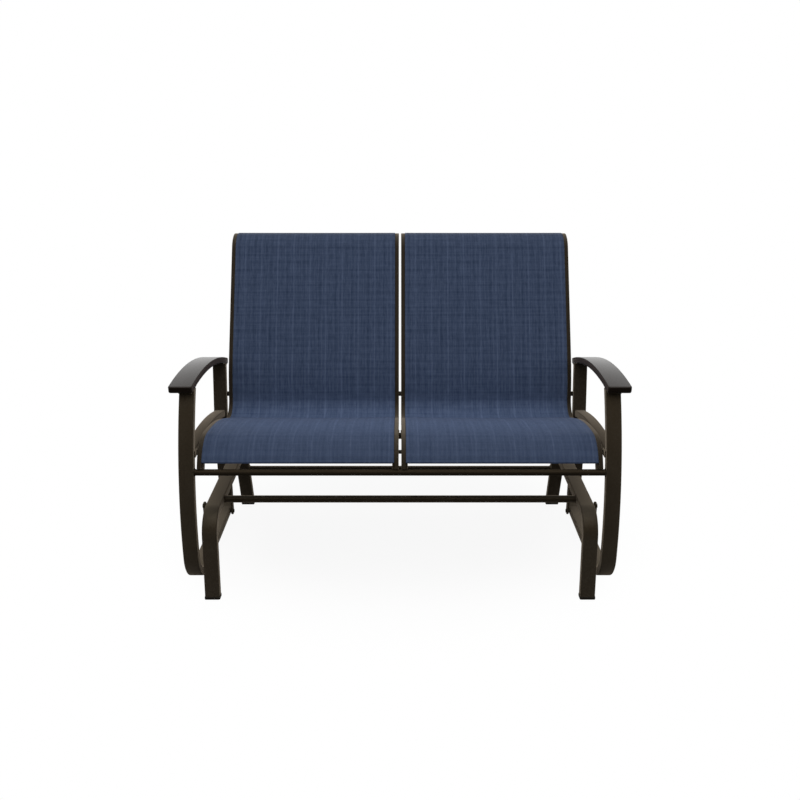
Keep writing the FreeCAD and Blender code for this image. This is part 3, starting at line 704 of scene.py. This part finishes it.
def arm_rings(mid_x):
    """Rings along the arch of an arm, drawn in round both ends."""
    middle = ARM_RADIUS - ARM_THICK / 2
    front = -math.degrees(math.asin((ARM_FRONT_Y - ARM_PEAK_Y) / ARM_RADIUS))
    rear = -math.degrees(math.asin((ARM_REAR_Y - ARM_PEAK_Y) / ARM_RADIUS))
    length = math.radians(front - rear) * middle
    steps = list(ARM_END_STEPS) + [length * i / ARM_STEPS for i in range(2, ARM_STEPS - 1)]
    rings = []
    for along in steps + [length - end for end in reversed(ARM_END_STEPS)]:
        from_end = min(along, length - along)
        width = ARM_WIDTH - 2 * rounded_off(from_end, ARM_CORNER)
        thick = ARM_THICK - 2 * rounded_off(from_end, ARM_EDGE)
        heading = front - math.degrees(along / middle)
        centre = ARM_CENTRE + way(heading + 90) * middle
        rings += carried(rounded_outline(mid_x, width, thick, ARM_EDGE, 5), [(centre, heading)])
    return rings


def recoated(names, coat):
    """Give CAD nodes one finish all over."""
    for name in names:
        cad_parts[name].data.materials.clear()
        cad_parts[name].data.materials.append(coat)


resin = arm_resin()
for side, sign in SIDES:
    rings = arm_rings(sign * (FRAME_INNER_X + ARM_WIDTH / 2))
    arm = skinned("arm_slab_" + side, rings, resin, "glider")
    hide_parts("arm_" + side)
recoated(("arm_pads_right", "arm_pads_left"), bronze)


# Side frames
# One flat steel tube each, bent from the bowed front post round under the seat to the rear post.
# Both posts run up to the pads under the arm.

FRAME_FRONT_Y = 0.0173
FRAME_BOW_RADIUS = 0.987
FRAME_BOW_START_Z = 0.140
FRAME_BOW_ANGLE = 28.0
FRAME_FRONT_BEND = 0.087
FRAME_REAR_BEND = 0.047
FRAME_REAR_POST_Y = 0.5515
FRAME_REAR_KNEE_Z = 0.330
FRAME_REAR_ANGLE = 11.9
FRAME_KNEE_RADIUS = 0.400
REAR_POST_RUN = 0.240
PAD_UNDER_RADIUS = ARM_RADIUS - ARM_THICK - PAD_THICK
FRAME_FRONT_MID_Y = FRAME_FRONT_Y + FRAME_TUBE_DEPTH / 2
BOW_CENTRE = at(0, FRAME_FRONT_MID_Y + FRAME_BOW_RADIUS, FRAME_BOW_START_Z)


def to_circle(centre, radius):
    """Cut that slides a point along its tube to the nearer crossing with a circle in the side plane."""
    def cut(point, along):
        offset = Vector((0, point.y - centre.y, point.z - centre.z))
        middle = -offset.dot(along)
        half = math.sqrt(middle ** 2 - offset.length_squared + radius ** 2)
        return point + along * min((middle - half, middle + half), key=abs)
    return cut


def side_frame_places():
    """Middle line from the top of the front post down, under the seat and up the rear post."""
    heading = -90 - FRAME_BOW_ANGLE
    knee_trim = FRAME_KNEE_RADIUS * math.tan(math.radians(FRAME_REAR_ANGLE / 2))
    return stations(BOW_CENTRE - way(heading + 90) * FRAME_BOW_RADIUS, heading, [
        curve(FRAME_BOW_RADIUS, FRAME_BOW_ANGLE),
        straight(FRAME_BOW_START_Z - FRAME_RAIL_Z - FRAME_FRONT_BEND),
        curve(FRAME_FRONT_BEND, 90),
        straight(FRAME_REAR_POST_Y - FRAME_REAR_BEND - FRAME_FRONT_MID_Y - FRAME_FRONT_BEND),
        curve(FRAME_REAR_BEND, 90),
        straight(FRAME_REAR_KNEE_Z - knee_trim - FRAME_RAIL_Z - FRAME_REAR_BEND),
        curve(FRAME_KNEE_RADIUS, -FRAME_REAR_ANGLE),
        straight(REAR_POST_RUN),
    ])


under_pads = to_circle(ARM_CENTRE, PAD_UNDER_RADIUS)
frame_places = side_frame_places()
for side, sign in SIDES:
    outline = rounded_outline(sign * FRAME_MID_X, FRAME_TUBE_WIDTH, FRAME_TUBE_DEPTH, TUBE_CORNER)
    rings = carried(outline, frame_places, under_pads, under_pads)
    loop = skinned("side_loop_" + side, rings, bronze, "glider")
    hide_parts("side_frames")


# Seat side rails
# Arched flat tubes, 35 by 22 mm, between the posts beside the seats.
# Their ends are coped to the posts and welded.

SIDE_RAIL_WIDTH = 0.035
SIDE_RAIL_DEPTH = 0.022
SIDE_RAIL_CORNER = 0.0035
SIDE_RAIL_RADIUS = 1.250
SIDE_RAIL_PEAK_Y = 0.225
SIDE_RAIL_PEAK_Z = 0.445
SIDE_RAIL_FRONT_Y = 0.074
SIDE_RAIL_REAR_Y = 0.566
# A darker copy of the bronze coat as painted shade, with less painted light on what faces up.
BRONZE_PAINTED_SHADE = (0.027, 0.0200, 0.0125, 1)
RAIL_SHADED_MOTTLE_AND_LIGHT = (0.048, 0.040, 0.030, 1)
RAIL_BLOOM = 0.40
RAIL_ROUGH = (0.44, 0.56)


def to_plane(origin, normal):
    """Cut that slides a point along its tube to a plane."""
    return lambda point, along: point + along * ((origin - point).dot(normal) / along.dot(normal))


def end_weld(mid_x, point, heading, face, away):
    """Bead where the end of a side rail meets the face of a post, away being +1 or -1 along the rail."""
    rings = []
    for step, rise, wave in weld_fillet():
        outline = rounded_outline(mid_x, SIDE_RAIL_WIDTH + 2 * rise, SIDE_RAIL_DEPTH + 2 * rise,
                                  SIDE_RAIL_CORNER + rise)
        rings.append([face(edge, way(heading)) + way(heading) * away * step
                      for edge in carried(outline, [(point, heading)])[0]])
    return rings


def side_rail_places():
    """Middle line of the rail's arch from the front post to the rear post."""
    middle = SIDE_RAIL_RADIUS - SIDE_RAIL_DEPTH / 2
    centre = at(0, SIDE_RAIL_PEAK_Y, SIDE_RAIL_PEAK_Z - SIDE_RAIL_RADIUS)
    first = math.degrees(math.asin((SIDE_RAIL_PEAK_Y - SIDE_RAIL_FRONT_Y) / middle))
    last = math.degrees(math.asin((SIDE_RAIL_REAR_Y - SIDE_RAIL_PEAK_Y) / middle))
    return stations(centre + way(first + 90) * middle, first, [curve(middle, -first - last)])


# The rails take the darker copy of the bronze coat as painted shade.
rail_shaded_bronze = powder_coat("rail_powder_coat_painted_shade", BRONZE_PAINTED_SHADE, RAIL_SHADED_MOTTLE_AND_LIGHT, RAIL_BLOOM, RAIL_ROUGH)
front_face = to_circle(BOW_CENTRE, FRAME_BOW_RADIUS - FRAME_TUBE_DEPTH / 2)
post_top, post_heading = frame_places[-1]
rear_face = to_plane(post_top + way(post_heading + 90) * FRAME_TUBE_DEPTH / 2, way(post_heading + 90))
places = side_rail_places()
for side, sign in SIDES:
    mid_x = sign * FRAME_MID_X
    outline = rounded_outline(mid_x, SIDE_RAIL_WIDTH, SIDE_RAIL_DEPTH, SIDE_RAIL_CORNER)
    rail = skinned("side_rail_" + side, carried(outline, places), rail_shaded_bronze, "glider")
    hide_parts("seat_side_rails")
    beads = [end_weld(mid_x, *places[0], front_face, 1), end_weld(mid_x, *places[-1], rear_face, -1)]
    skins("side_rail_welds_" + side, beads, rail_shaded_bronze, "glider")


# Seat stretchers
# Two round steel tubes welded between the side frames, one under the front edge of the seats
# and one low behind them that carries the brackets of the middle rails.

FRONT_STRETCHER_DIA = 0.019
REAR_STRETCHER_DIA = 0.0222
FRONT_STRETCHER_Y = 0.063
FRONT_STRETCHER_Z = 0.389
REAR_STRETCHER_Z = 0.307
STRETCHER_BLOOM = 0.10
STRETCHER_ROUGH = (0.48, 0.60)

# The front seat tube takes the darker copy with no paler tone at all: painted shade under the seat's front
# edge.
stretcher_shaded_bronze = powder_coat("stretcher_powder_coat_painted_shade", BRONZE_PAINTED_SHADE, BRONZE_PAINTED_SHADE, STRETCHER_BLOOM,
                               STRETCHER_ROUGH)
welded_bar("seat_front_tube", FRONT_STRETCHER_DIA, FRAME_INNER_X, FRONT_STRETCHER_Y, FRONT_STRETCHER_Z,
           stretcher_shaded_bronze, "glider", "front_seat_stretcher")
welded_bar("seat_rear_tube", REAR_STRETCHER_DIA, FRAME_INNER_X, FRAME_REAR_POST_Y, REAR_STRETCHER_Z,
           bronze, "glider", "rear_seat_stretcher")


# Sling rails
# Four extruded bars, 19 by 24 mm, bent to the seat's side line, with a groove along the top
# that holds the edge of the fabric. Their feet are coped to the front stretcher and welded.

RAIL_WIDTH = 0.019
RAIL_DEPTH = 0.024
RAIL_CORNER = 0.002
RAIL_TO_FRAME = 0.0075
CENTRE_GAP = 0.0076
GROOVE_FROM_SIDE = 0.014
GROOVE_WIDTH = 0.0024
GROOVE_DEPTH = 0.0065
HEM_Y = 0.066
HEM_Z = 0.417
FRONT_ANGLE = 62.0
RAIL_FOOT = 0.018
SEAT_LINE = (
    straight(0.004),
    curve(0.100, -65.0),
    curve(0.900, -16.5),
    straight(0.0805),
    curve(0.060, 99.5),
    curve(0.450, -17.3),
    straight(0.3935),
    curve(0.075, -82.7),
)
OUTER_RAIL_X = FRAME_INNER_X - RAIL_TO_FRAME
INNER_RAIL_X = CENTRE_GAP / 2
RAILS = (("outer", OUTER_RAIL_X, -1), ("inner", INNER_RAIL_X, 1))
RAIL_SIDE_STEPS = 6


def rail_outline(side_x, inward):
    """Grooved bar from its outer side face, inward being +1 or -1 towards the fabric."""
    nick = 0.3 * RAIL_CORNER
    rise = RAIL_DEPTH - 2 * RAIL_CORNER
    far, near = GROOVE_FROM_SIDE + GROOVE_WIDTH / 2, GROOVE_FROM_SIDE - GROOVE_WIDTH / 2
    points = [(RAIL_CORNER, -RAIL_DEPTH), (RAIL_WIDTH - RAIL_CORNER, -RAIL_DEPTH),
              (RAIL_WIDTH - nick, -RAIL_DEPTH + nick)]
    points += [(RAIL_WIDTH, -RAIL_DEPTH + RAIL_CORNER + rise * i / RAIL_SIDE_STEPS)
               for i in range(RAIL_SIDE_STEPS + 1)]
    points += [(RAIL_WIDTH - nick, -nick), (RAIL_WIDTH - RAIL_CORNER, 0),
               (far, 0), (far, -GROOVE_DEPTH), (near, -GROOVE_DEPTH), (near, 0),
               (RAIL_CORNER, 0), (nick, -nick)]
    points += [(0, -RAIL_CORNER - rise * i / RAIL_SIDE_STEPS) for i in range(RAIL_SIDE_STEPS + 1)]
    points += [(nick, -RAIL_DEPTH + nick)]
    return [(side_x + inward * across, up) for across, up in points]


def off_circle(centre, radius):
    """Cut that slides a point forward along its bar until it is clear of a round tube."""
    def cut(point, along):
        offset = Vector((0, point.y - centre.y, point.z - centre.z))
        middle = -offset.dot(along)
        room = middle ** 2 - offset.length_squared + radius ** 2
        if room <= 0:
            return point
        return point + along * max(0.0, middle + math.sqrt(room))
    return cut


hem = at(0, HEM_Y, HEM_Z)
rail_steps = [straight(RAIL_FOOT)] + list(SEAT_LINE)
rail_places = stations(hem - way(FRONT_ANGLE) * RAIL_FOOT, FRONT_ANGLE, rail_steps)
coped = off_circle(at(0, FRONT_STRETCHER_Y, FRONT_STRETCHER_Z), FRONT_STRETCHER_DIA / 2)
for side, sign in SIDES:
    for place, side_x, inward in RAILS:
        rings = carried(rail_outline(sign * side_x, sign * inward), rail_places, coped)
        rail = skinned("grooved_rail_%s_%s" % (place, side), rings, rail_shaded_bronze, "glider")
        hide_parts("sling_rails")


# Rail caps
# Black moulded plugs pushed into the top ends of the rails, each with a shallow domed head.
# They close the cut ends behind the rolled top of the fabric.

PLUG_PROFILE = ((0, 0), (0.0018, 0), (0.0026, 0.0006), (0.0030, 0.0020))

end, heading = rail_places[-1]
for side, sign in SIDES:
    for place, side_x, inward in RAILS:
        mid_x = sign * (side_x + inward * RAIL_WIDTH / 2)
        rings = []
        for step, inset in PLUG_PROFILE:
            outline = [(across, up - RAIL_DEPTH / 2) for across, up in
                       rounded_outline(mid_x, RAIL_WIDTH - 2 * inset, RAIL_DEPTH - 2 * inset, RAIL_CORNER)]
            rings += carried(outline, [(end + way(heading) * step, heading)])
        cap = skinned("rail_plug_%s_%s" % (place, side), rings, cap_plastic, "glider")
        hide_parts("rail_caps")


# Slings
# Woven vinyl-coated polyester mesh, blue with pale slub yarns, stretched between the rails.
# Its side edges turn down into the grooves, and both ends are hemmed and sewn.

CLOTH_THICK = 0.0012
CLOTH_HEIGHT = 0.001
CLOTH_COLUMNS = 30
EDGE_TURN = 0.0016
EDGE_DOWN = 0.0060
SEAT_SAG = 0.0032
SAG_EASE = 6
SLING_INNER = INNER_RAIL_X + GROOVE_FROM_SIDE
SLING_OUTER = OUTER_RAIL_X - GROOVE_FROM_SIDE
SLING_TOP_GAP = 0.004
YARN_PITCH = 0.00125
YARN_HOLES = (0.2, 1.0)
YARN_HOLE_DARK = 0.45
STRIPE_REPEAT = 0.0567
STRIPE_PHASE = 0.0391
STRIPE_LEVELS = ((0.0, 0.88), (0.025, 0.88), (0.06, 0.36), (0.14, 0.27), (0.36, 0.27), (0.44, 0.34),
                 (0.47, 0.54), (0.50, 0.34), (0.56, 0.15), (0.61, 0.0), (0.66, 0.15), (0.74, 0.34),
                 (0.78, 0.58), (0.82, 0.34), (0.94, 0.32), (0.975, 0.88))
STRIPE_SHARE = 0.58
ROW_REPEAT = 0.0270
ROW_LEVELS = ((0.0, 1.0), (0.27, 1.0), (0.37, 0.0), (0.54, 0.0), (0.65, 1.0))
ROW_SHARE = 0.15
# Painted light and shade along the cloth, by distance from its front hem.
PAINTED_LIGHT_REPEAT = 1.2
PAINTED_LIGHT_LEVELS = ((0.0, 0.86), (0.02, 0.83), (0.04, 0.71), (0.075, 0.71), (0.11, 0.83), (0.18, 0.98),
               (0.28, 1.0), (0.40, 0.95), (0.46, 0.91), (0.51, 0.82), (0.56, 0.77), (0.90, 0.79),
               (0.945, 0.60), (0.98, 0.47))
PAINTED_LIGHT_MOST = 1.3
# Painted sheen that washes the pattern pale over the seat.
SHEEN_WASH_PALE = 0.56
SHEEN_WASH_SHARE = 0.40
SHEEN_WASH_ALONG = (0.40, 0.60)
SLUB_SPREAD = (0.35, 0.65)
SLUBS_IN_STRIPES = (60.0, 28.0, 1.0)
STRIPE_UNEVEN = (0.65, 1.0)
SLUBS_IN_ROWS = (24.0, 60.0, 1.0)
ROW_UNEVEN = (0.3, 1.0)
SLUB_SHARES = (((210.0, 7.0, 1.0), 0.22), ((6.0, 150.0, 1.0), 0.13), ((190.0, 42.0, 1.0), 0.19))
WEAVE_SHARE = 0.10
SLUB_HEIGHT = 0.4
WEAVE_RELIEF = (0.5, 0.0003)
SLING_DEEP = (0.0188, 0.0338, 0.0720, 1)
SLING_PALE = (0.0830, 0.1130, 0.1930, 1)
SLING_ROUGH = 0.62
SLING_SHEEN = (("Specular IOR Level", 0.06), ("Sheen Weight", 0.05), ("Sheen Roughness", 0.35))
HEM_FOLD = 0.024
HEM_PINCH = 0.0003
HEM_FROM_RAIL = 0.0008
HEM_LOW = INNER_RAIL_X + RAIL_WIDTH + HEM_FROM_RAIL
HEM_HIGH = OUTER_RAIL_X - RAIL_WIDTH - HEM_FROM_RAIL
HEM_COLUMNS = [HEM_LOW + (HEM_HIGH - HEM_LOW) * i / 36 for i in range(37)]
HEM_ROWS = 6
HEM_TURN_ROWS = 5
SEAM_FROM_END = 0.018
STITCH_LENGTH = 0.0030
STITCH_PITCH = 0.0040
STITCH_STEPS = 5
STITCH_ARCH = 0.7
STITCH_END = 0.45
THREAD_DIA = 0.0006
THREAD_SIDES = 8
THREAD_TWIST = 0.0007
THREAD_DEEP = (0.012, 0.018, 0.034, 1)
THREAD_PALE = (0.034, 0.048, 0.082, 1)
THREAD_ROUGH = 0.5
THREAD_RELIEF = (0.7, 0.0001)
THREAD_SHEEN = (("Specular IOR Level", 0.2), ("Sheen Weight", 0.1))


def woven_mesh():
    """Plain weave in the cloth's own measure: pale and deep yarns repeated both ways, slubs, painted light
    and shade along the cloth, and a painted sheen that washes the seat pale.
    """
    material = empty_material("sling_weave")
    tree = material.node_tree
    place = linked(tree, "TexCoord").outputs["UV"]
    across, along = part(tree, place, "X"), part(tree, place, "Y")

    def slubs(per_metre):
        return ranged(tree, noise(tree, place, per_metre, 2.0), SLUB_SPREAD)

    def repeated(distance, repeat, phase, levels):
        repeats = number(tree, "DIVIDE", number(tree, "SUBTRACT", distance, phase), repeat)
        bands = linked(tree, "ValToRGB", ((0, number(tree, "FRACT", repeats)),))
        ramp = bands.color_ramp
        for element in ramp.elements:
            element.color = (levels[0][1],) * 3 + (1,)
        for position, level in levels[1:]:
            ramp.elements.new(position).color = (level, level, level, 1)
        return bands.outputs[0]

    def yarns(distance):
        return number(tree, "SINE", number(tree, "MULTIPLY", distance, math.pi / YARN_PITCH))

    stripes = repeated(across, STRIPE_REPEAT, STRIPE_PHASE, STRIPE_LEVELS)
    rows = repeated(along, ROW_REPEAT, 0.0, ROW_LEVELS)
    # Painted light and shade along the cloth: brightest over the seat's crown and darkest at the rolled top.
    painted_light_along = number(tree, "MULTIPLY", repeated(along, PAINTED_LIGHT_REPEAT, 0.0, PAINTED_LIGHT_LEVELS), PAINTED_LIGHT_MOST)
    uneven = ranged(tree, slubs(SLUBS_IN_STRIPES), (0.0, 1.0), STRIPE_UNEVEN)
    broken = ranged(tree, slubs(SLUBS_IN_ROWS), (0.0, 1.0), ROW_UNEVEN)
    over, under = yarns(across), yarns(along)
    weave = number(tree, "MULTIPLY_ADD", number(tree, "MULTIPLY", over, under), 0.5, 0.5)
    filled = number(tree, "ADD", number(tree, "ABSOLUTE", over), number(tree, "ABSOLUTE", under))
    holes = ranged(tree, filled, YARN_HOLES, (YARN_HOLE_DARK, 1.0))
    pale = number(tree, "MULTIPLY", number(tree, "MULTIPLY", stripes, uneven), STRIPE_SHARE)
    pale = number(tree, "MULTIPLY_ADD", number(tree, "MULTIPLY", rows, broken), ROW_SHARE, pale)
    for per_metre, share in SLUB_SHARES:
        pale = number(tree, "MULTIPLY_ADD", slubs(per_metre), share, pale)
    pale = number(tree, "MULTIPLY_ADD", weave, WEAVE_SHARE, pale)
    # Painted sheen: within 0.4 m of the front hem the pattern is pulled towards one pale tone, fading out by
    # 0.6 m.
    painted_sheen_wash = stretched(tree, along, SHEEN_WASH_ALONG, (SHEEN_WASH_SHARE, 0.0))
    pale = number(tree, "MULTIPLY_ADD", painted_sheen_wash, number(tree, "SUBTRACT", SHEEN_WASH_PALE, pale), pale)
    colour = mixed(tree, pale, SLING_DEEP, SLING_PALE)
    shaded = mixed(tree, 1.0, colour, number(tree, "MULTIPLY", holes, painted_light_along), "MULTIPLY")
    height = number(tree, "MULTIPLY_ADD", pale, SLUB_HEIGHT, weave)
    return surfaced(material, shaded, SLING_ROUGH, (*WEAVE_RELIEF, height), SLING_SHEEN)


def sewing_thread():
    """Bonded polyester thread, two plies twisted together."""
    material = empty_material("sewing_thread")
    tree = material.node_tree
    place = linked(tree, "SeparateXYZ", ((0, linked(tree, "TexCoord").outputs["Object"]),)).outputs
    slant = number(tree, "ADD", place["X"], number(tree, "ADD", place["Y"], place["Z"]))
    twist = number(tree, "SINE", number(tree, "MULTIPLY", slant, math.tau / THREAD_TWIST))
    ply = number(tree, "MULTIPLY_ADD", twist, 0.5, 0.5)
    colour = mixed(tree, ply, THREAD_DEEP, THREAD_PALE)
    return surfaced(material, colour, THREAD_ROUGH, (*THREAD_RELIEF, ply), THREAD_SHEEN)


def cloth_piece(name, rows, measures, material):
    """Sheet over a grid of points, its UVs the distances across and along, given its thickness."""
    work = bmesh.new()
    layer = work.loops.layers.uv.new("cloth")
    grid = [[work.verts.new(point) for point in row] for row in rows]
    for r in range(len(rows) - 1):
        for c in range(len(rows[0]) - 1):
            corners = ((r, c), (r, c + 1), (r + 1, c + 1), (r + 1, c))
            face = work.faces.new([grid[row][column] for row, column in corners])
            for loop, (row, column) in zip(face.loops, corners):
                loop[layer].uv = measures[row][column]
    piece = placed(name, work, material, "glider")
    thickness = piece.modifiers.new("thickness", "SOLIDIFY")
    thickness.thickness = CLOTH_THICK
    thickness.offset = 0.0
    return piece


def sling_section():
    """Mid-line of the cloth across one seat, as positions and heights over the rails."""
    points = [(SLING_INNER, CLOTH_HEIGHT - EDGE_TURN - EDGE_DOWN), (SLING_INNER, CLOTH_HEIGHT - EDGE_TURN)]
    points += [(SLING_INNER + EDGE_TURN * (1 - math.cos(math.radians(angle))),
                CLOTH_HEIGHT - EDGE_TURN * (1 - math.sin(math.radians(angle)))) for angle in (30, 60, 90)]
    inner, outer = SLING_INNER + EDGE_TURN, SLING_OUTER - EDGE_TURN
    points += [(inner + (outer - inner) * i / CLOTH_COLUMNS, CLOTH_HEIGHT) for i in range(1, CLOTH_COLUMNS)]
    mirror = SLING_INNER + SLING_OUTER
    return points + [(mirror - across, up) for across, up in reversed(points[:5])]


def sag_at(across, share):
    """How far the cloth hangs between the rails, most in the middle of the seat and none at the hems."""
    low, high = INNER_RAIL_X + RAIL_WIDTH, OUTER_RAIL_X - RAIL_WIDTH
    if not low < across < high:
        return 0.0
    place = 2 * (across - low) / (high - low) - 1
    return SEAT_SAG * (1 - place ** 2) * min(1.0, SAG_EASE * share, SAG_EASE * (1 - share))


def cloth_places():
    """Stations along the seat line, close enough for the cloth to look smooth, up to its top hem."""
    steps = list(SEAT_LINE)
    kind, radius, turn = steps[-1]
    steps[-1] = (kind, radius, turn + math.degrees(SLING_TOP_GAP / radius))
    return stations(hem, FRONT_ANGLE, steps, longest=0.012, sharpest=3.0)


def distances(points):
    """Running length along a list of points."""
    total, found = 0.0, [0.0]
    for before, after in zip(points, points[1:]):
        total += (Vector(after) - Vector(before)).length
        found.append(total)
    return found


def cloth_at(distance):
    """Point and heading on the cloth's line at a running length from its front hem."""
    legs = zip(cloth_line, cloth_line[1:], cloth_run, cloth_run[1:])
    for (before, heading), (after, turned), start, stop in legs:
        if distance <= stop:
            share = (distance - start) / (stop - start)
            return before.lerp(after, share), heading + (turned - heading) * share
    return cloth_line[-1]


def below_cloth(sign, across, distance, drop):
    """Point under the cloth's middle, square to it, with the cloth's own sag."""
    point, heading = cloth_at(distance)
    sag = sag_at(across, distance / cloth_run[-1])
    return point + Vector((sign * across, 0, 0)) + way(heading + 90) * (CLOTH_HEIGHT - sag - drop)


def hem_rows(sign, end, inward):
    """Turned-under strip of a hem: forward under the cloth, then round to its cut end."""
    rows, measures = [], []
    half = (CLOTH_THICK + HEM_PINCH) / 2
    for i in range(HEM_ROWS + 1):
        distance = end + inward * HEM_FOLD * (1 - i / HEM_ROWS)
        rows.append([below_cloth(sign, across, distance, 2 * half) for across in HEM_COLUMNS])
        measures.append([(sign * across, -inward * distance) for across in HEM_COLUMNS])
    outward = way(cloth_at(end)[1]) * -inward
    for i in range(1, HEM_TURN_ROWS + 1):
        turn = math.pi * i / HEM_TURN_ROWS
        drop, reach = half + half * math.cos(turn), outward * half * math.sin(turn)
        rows.append([below_cloth(sign, across, end, drop) + reach for across in HEM_COLUMNS])
        measures.append([(sign * across, -inward * end + half * turn) for across in HEM_COLUMNS])
    return rows, measures


def stitch_rings(sign, across, distance):
    """One stitch of a seam across the cloth, proud in its middle and pulled down at its ends."""
    rings = []
    heading = cloth_at(distance)[1]
    for i in range(STITCH_STEPS + 1):
        share = 2 * i / STITCH_STEPS - 1
        thick = THREAD_DIA / 2 * (STITCH_END + (1 - STITCH_END) * math.sqrt(1 - share ** 2 * 0.98))
        lift = CLOTH_THICK / 2 + THREAD_DIA * 0.5 * (STITCH_ARCH - share ** 2)
        middle = below_cloth(sign, across + STITCH_LENGTH * i / STITCH_STEPS, distance, -lift)
        rings.append([middle + way(heading) * thick * math.cos(angle)
                      + way(heading + 90) * thick * math.sin(angle)
                      for angle in (math.tau * k / THREAD_SIDES for k in range(THREAD_SIDES))])
    return rings


section = sling_section()
section_run = distances([(across, up, 0) for across, up in section])
cloth_line = cloth_places()
cloth_run = distances([point for point, heading in cloth_line])
cloth = woven_mesh()
thread = sewing_thread()
stitches = int((HEM_HIGH - HEM_LOW) / STITCH_PITCH)
for side, sign in SIDES:
    rows, measures = [], []
    for (point, heading), along in zip(cloth_line, cloth_run):
        share = along / cloth_run[-1]
        rows.append([point + Vector((sign * across, 0, 0)) + way(heading + 90) * (up - sag_at(across, share))
                     for across, up in section])
        measures.append([(sign * (run - section_run[-1] / 2), along) for run in section_run])
    sling = cloth_piece("sling_cloth_" + side, rows, measures, cloth)
    for place, end, inward in (("front", 0.0, 1), ("top", cloth_run[-1], -1)):
        cloth_piece("hem_%s_%s" % (place, side), *hem_rows(sign, end, inward), cloth)
        along = end + inward * SEAM_FROM_END
        seam = [stitch_rings(sign, HEM_LOW + STITCH_PITCH * i, along) for i in range(stitches)]
        skins("seam_%s_%s" % (place, side), seam, thread, "glider")
    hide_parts("sling_" + side)


# Screws
# Low button heads with a hexagon socket, blackened steel. They sit on the front lugs and rear posts
# where the outer rails are bolted, on the rails' sides where spreader bars end, and under the arm pads.

FRONT_SPACER_ALONG, FRONT_SPACER_DROP = 0.039, 0.011
REAR_SPACER_ALONG, REAR_SPACER_DROP = 0.573, 0.012
SEAT_SPREADER_ALONG, BACK_SPREADER_ALONG, SPREADER_DROP = 0.187, 1.066, 0.015
PAD_DEPTHS = (0.1515, 0.5988)
PAD_SCREW_OFF = 0.025
BOLT_HEAD = (0.0055, 0.0030)
RAIL_SCREW_HEAD = (0.0042, 0.0021)
PAD_SCREW_HEAD = (0.0045, 0.0024)
HEAD_POINTS = 48
HEAD_PROFILE = ((0.0, 1.0), (0.15, 1.0), (0.50, 0.92), (0.78, 0.76), (0.94, 0.58), (1.0, 0.46))
SOCKET_FLATS = 0.30
SOCKET_FLOOR = 0.35


def head_ring(middle, axis, radius, cornered):
    """Circle square to an axis, or a hexagon of that size across its flats."""
    side = axis.orthogonal().normalized()
    other = axis.cross(side)
    ring = []
    for i in range(HEAD_POINTS):
        angle = math.tau * i / HEAD_POINTS
        reach = radius / off_flat(angle) if cornered else radius
        ring.append(middle + side * reach * math.cos(angle) + other * reach * math.sin(angle))
    return ring


def button_head(seat, axis, size):
    """Rings of a button head from its seat outward, and down into its socket."""
    radius, height = size
    head = [head_ring(seat + axis * height * rise, axis, radius * share, False)
            for rise, share in HEAD_PROFILE]
    socket = [head_ring(seat + axis * height * level, axis, radius * SOCKET_FLATS, True)
              for level in (1.0, SOCKET_FLOOR)]
    return head + socket


def beside_rails(distance, drop, x):
    """Point at a length along the seat line, below it, and x from the middle."""
    point, heading = cloth_at(distance)
    return point - way(heading + 90) * drop + Vector((x, 0, 0))


for side, sign in SIDES:
    outward = Vector((sign, 0, 0))
    bolts = [button_head(beside_rails(along, drop, sign * x), outward, BOLT_HEAD) for along, drop, x in
             ((FRONT_SPACER_ALONG, FRONT_SPACER_DROP, FRAME_INNER_X),
              (REAR_SPACER_ALONG, REAR_SPACER_DROP, FRAME_INNER_X + FRAME_TUBE_WIDTH))]
    skins("rail_bolts_" + side, bolts, plated, "glider")
    screws = [button_head(beside_rails(along, SPREADER_DROP, sign * x), facing, RAIL_SCREW_HEAD)
              for along, x, facing in ((SEAT_SPREADER_ALONG, OUTER_RAIL_X, outward),
                                       (BACK_SPREADER_ALONG, OUTER_RAIL_X, outward),
                                       (SEAT_SPREADER_ALONG, INNER_RAIL_X, -outward))]
    skins("spreader_screws_" + side, screws, plated, "glider")
    screws = []
    for depth in [pad + off for pad in PAD_DEPTHS for off in (-PAD_SCREW_OFF, PAD_SCREW_OFF)]:
        up = way(90 - math.degrees(math.asin((depth - ARM_PEAK_Y) / PAD_UNDER_RADIUS)))
        seat = ARM_CENTRE + up * PAD_UNDER_RADIUS + Vector((sign * FRAME_MID_X, 0, 0))
        screws.append(button_head(seat, -up, PAD_SCREW_HEAD))
    skins("arm_screws_" + side, screws, plated, "glider")


# Remaining steel
# Spreader bars, lugs and brackets of flat steel, coated with the frame before the slings went in.
# The hexagon spacers on the rail bolts are dark plated like the studs.

recoated(("seat_spreader_right", "seat_spreader_left", "back_spreader_right", "back_spreader_left",
          "rail_bracket_right", "rail_bracket_left", "front_lugs"), bronze)
recoated(("side_rail_spacers", "centre_spacers"), plated)
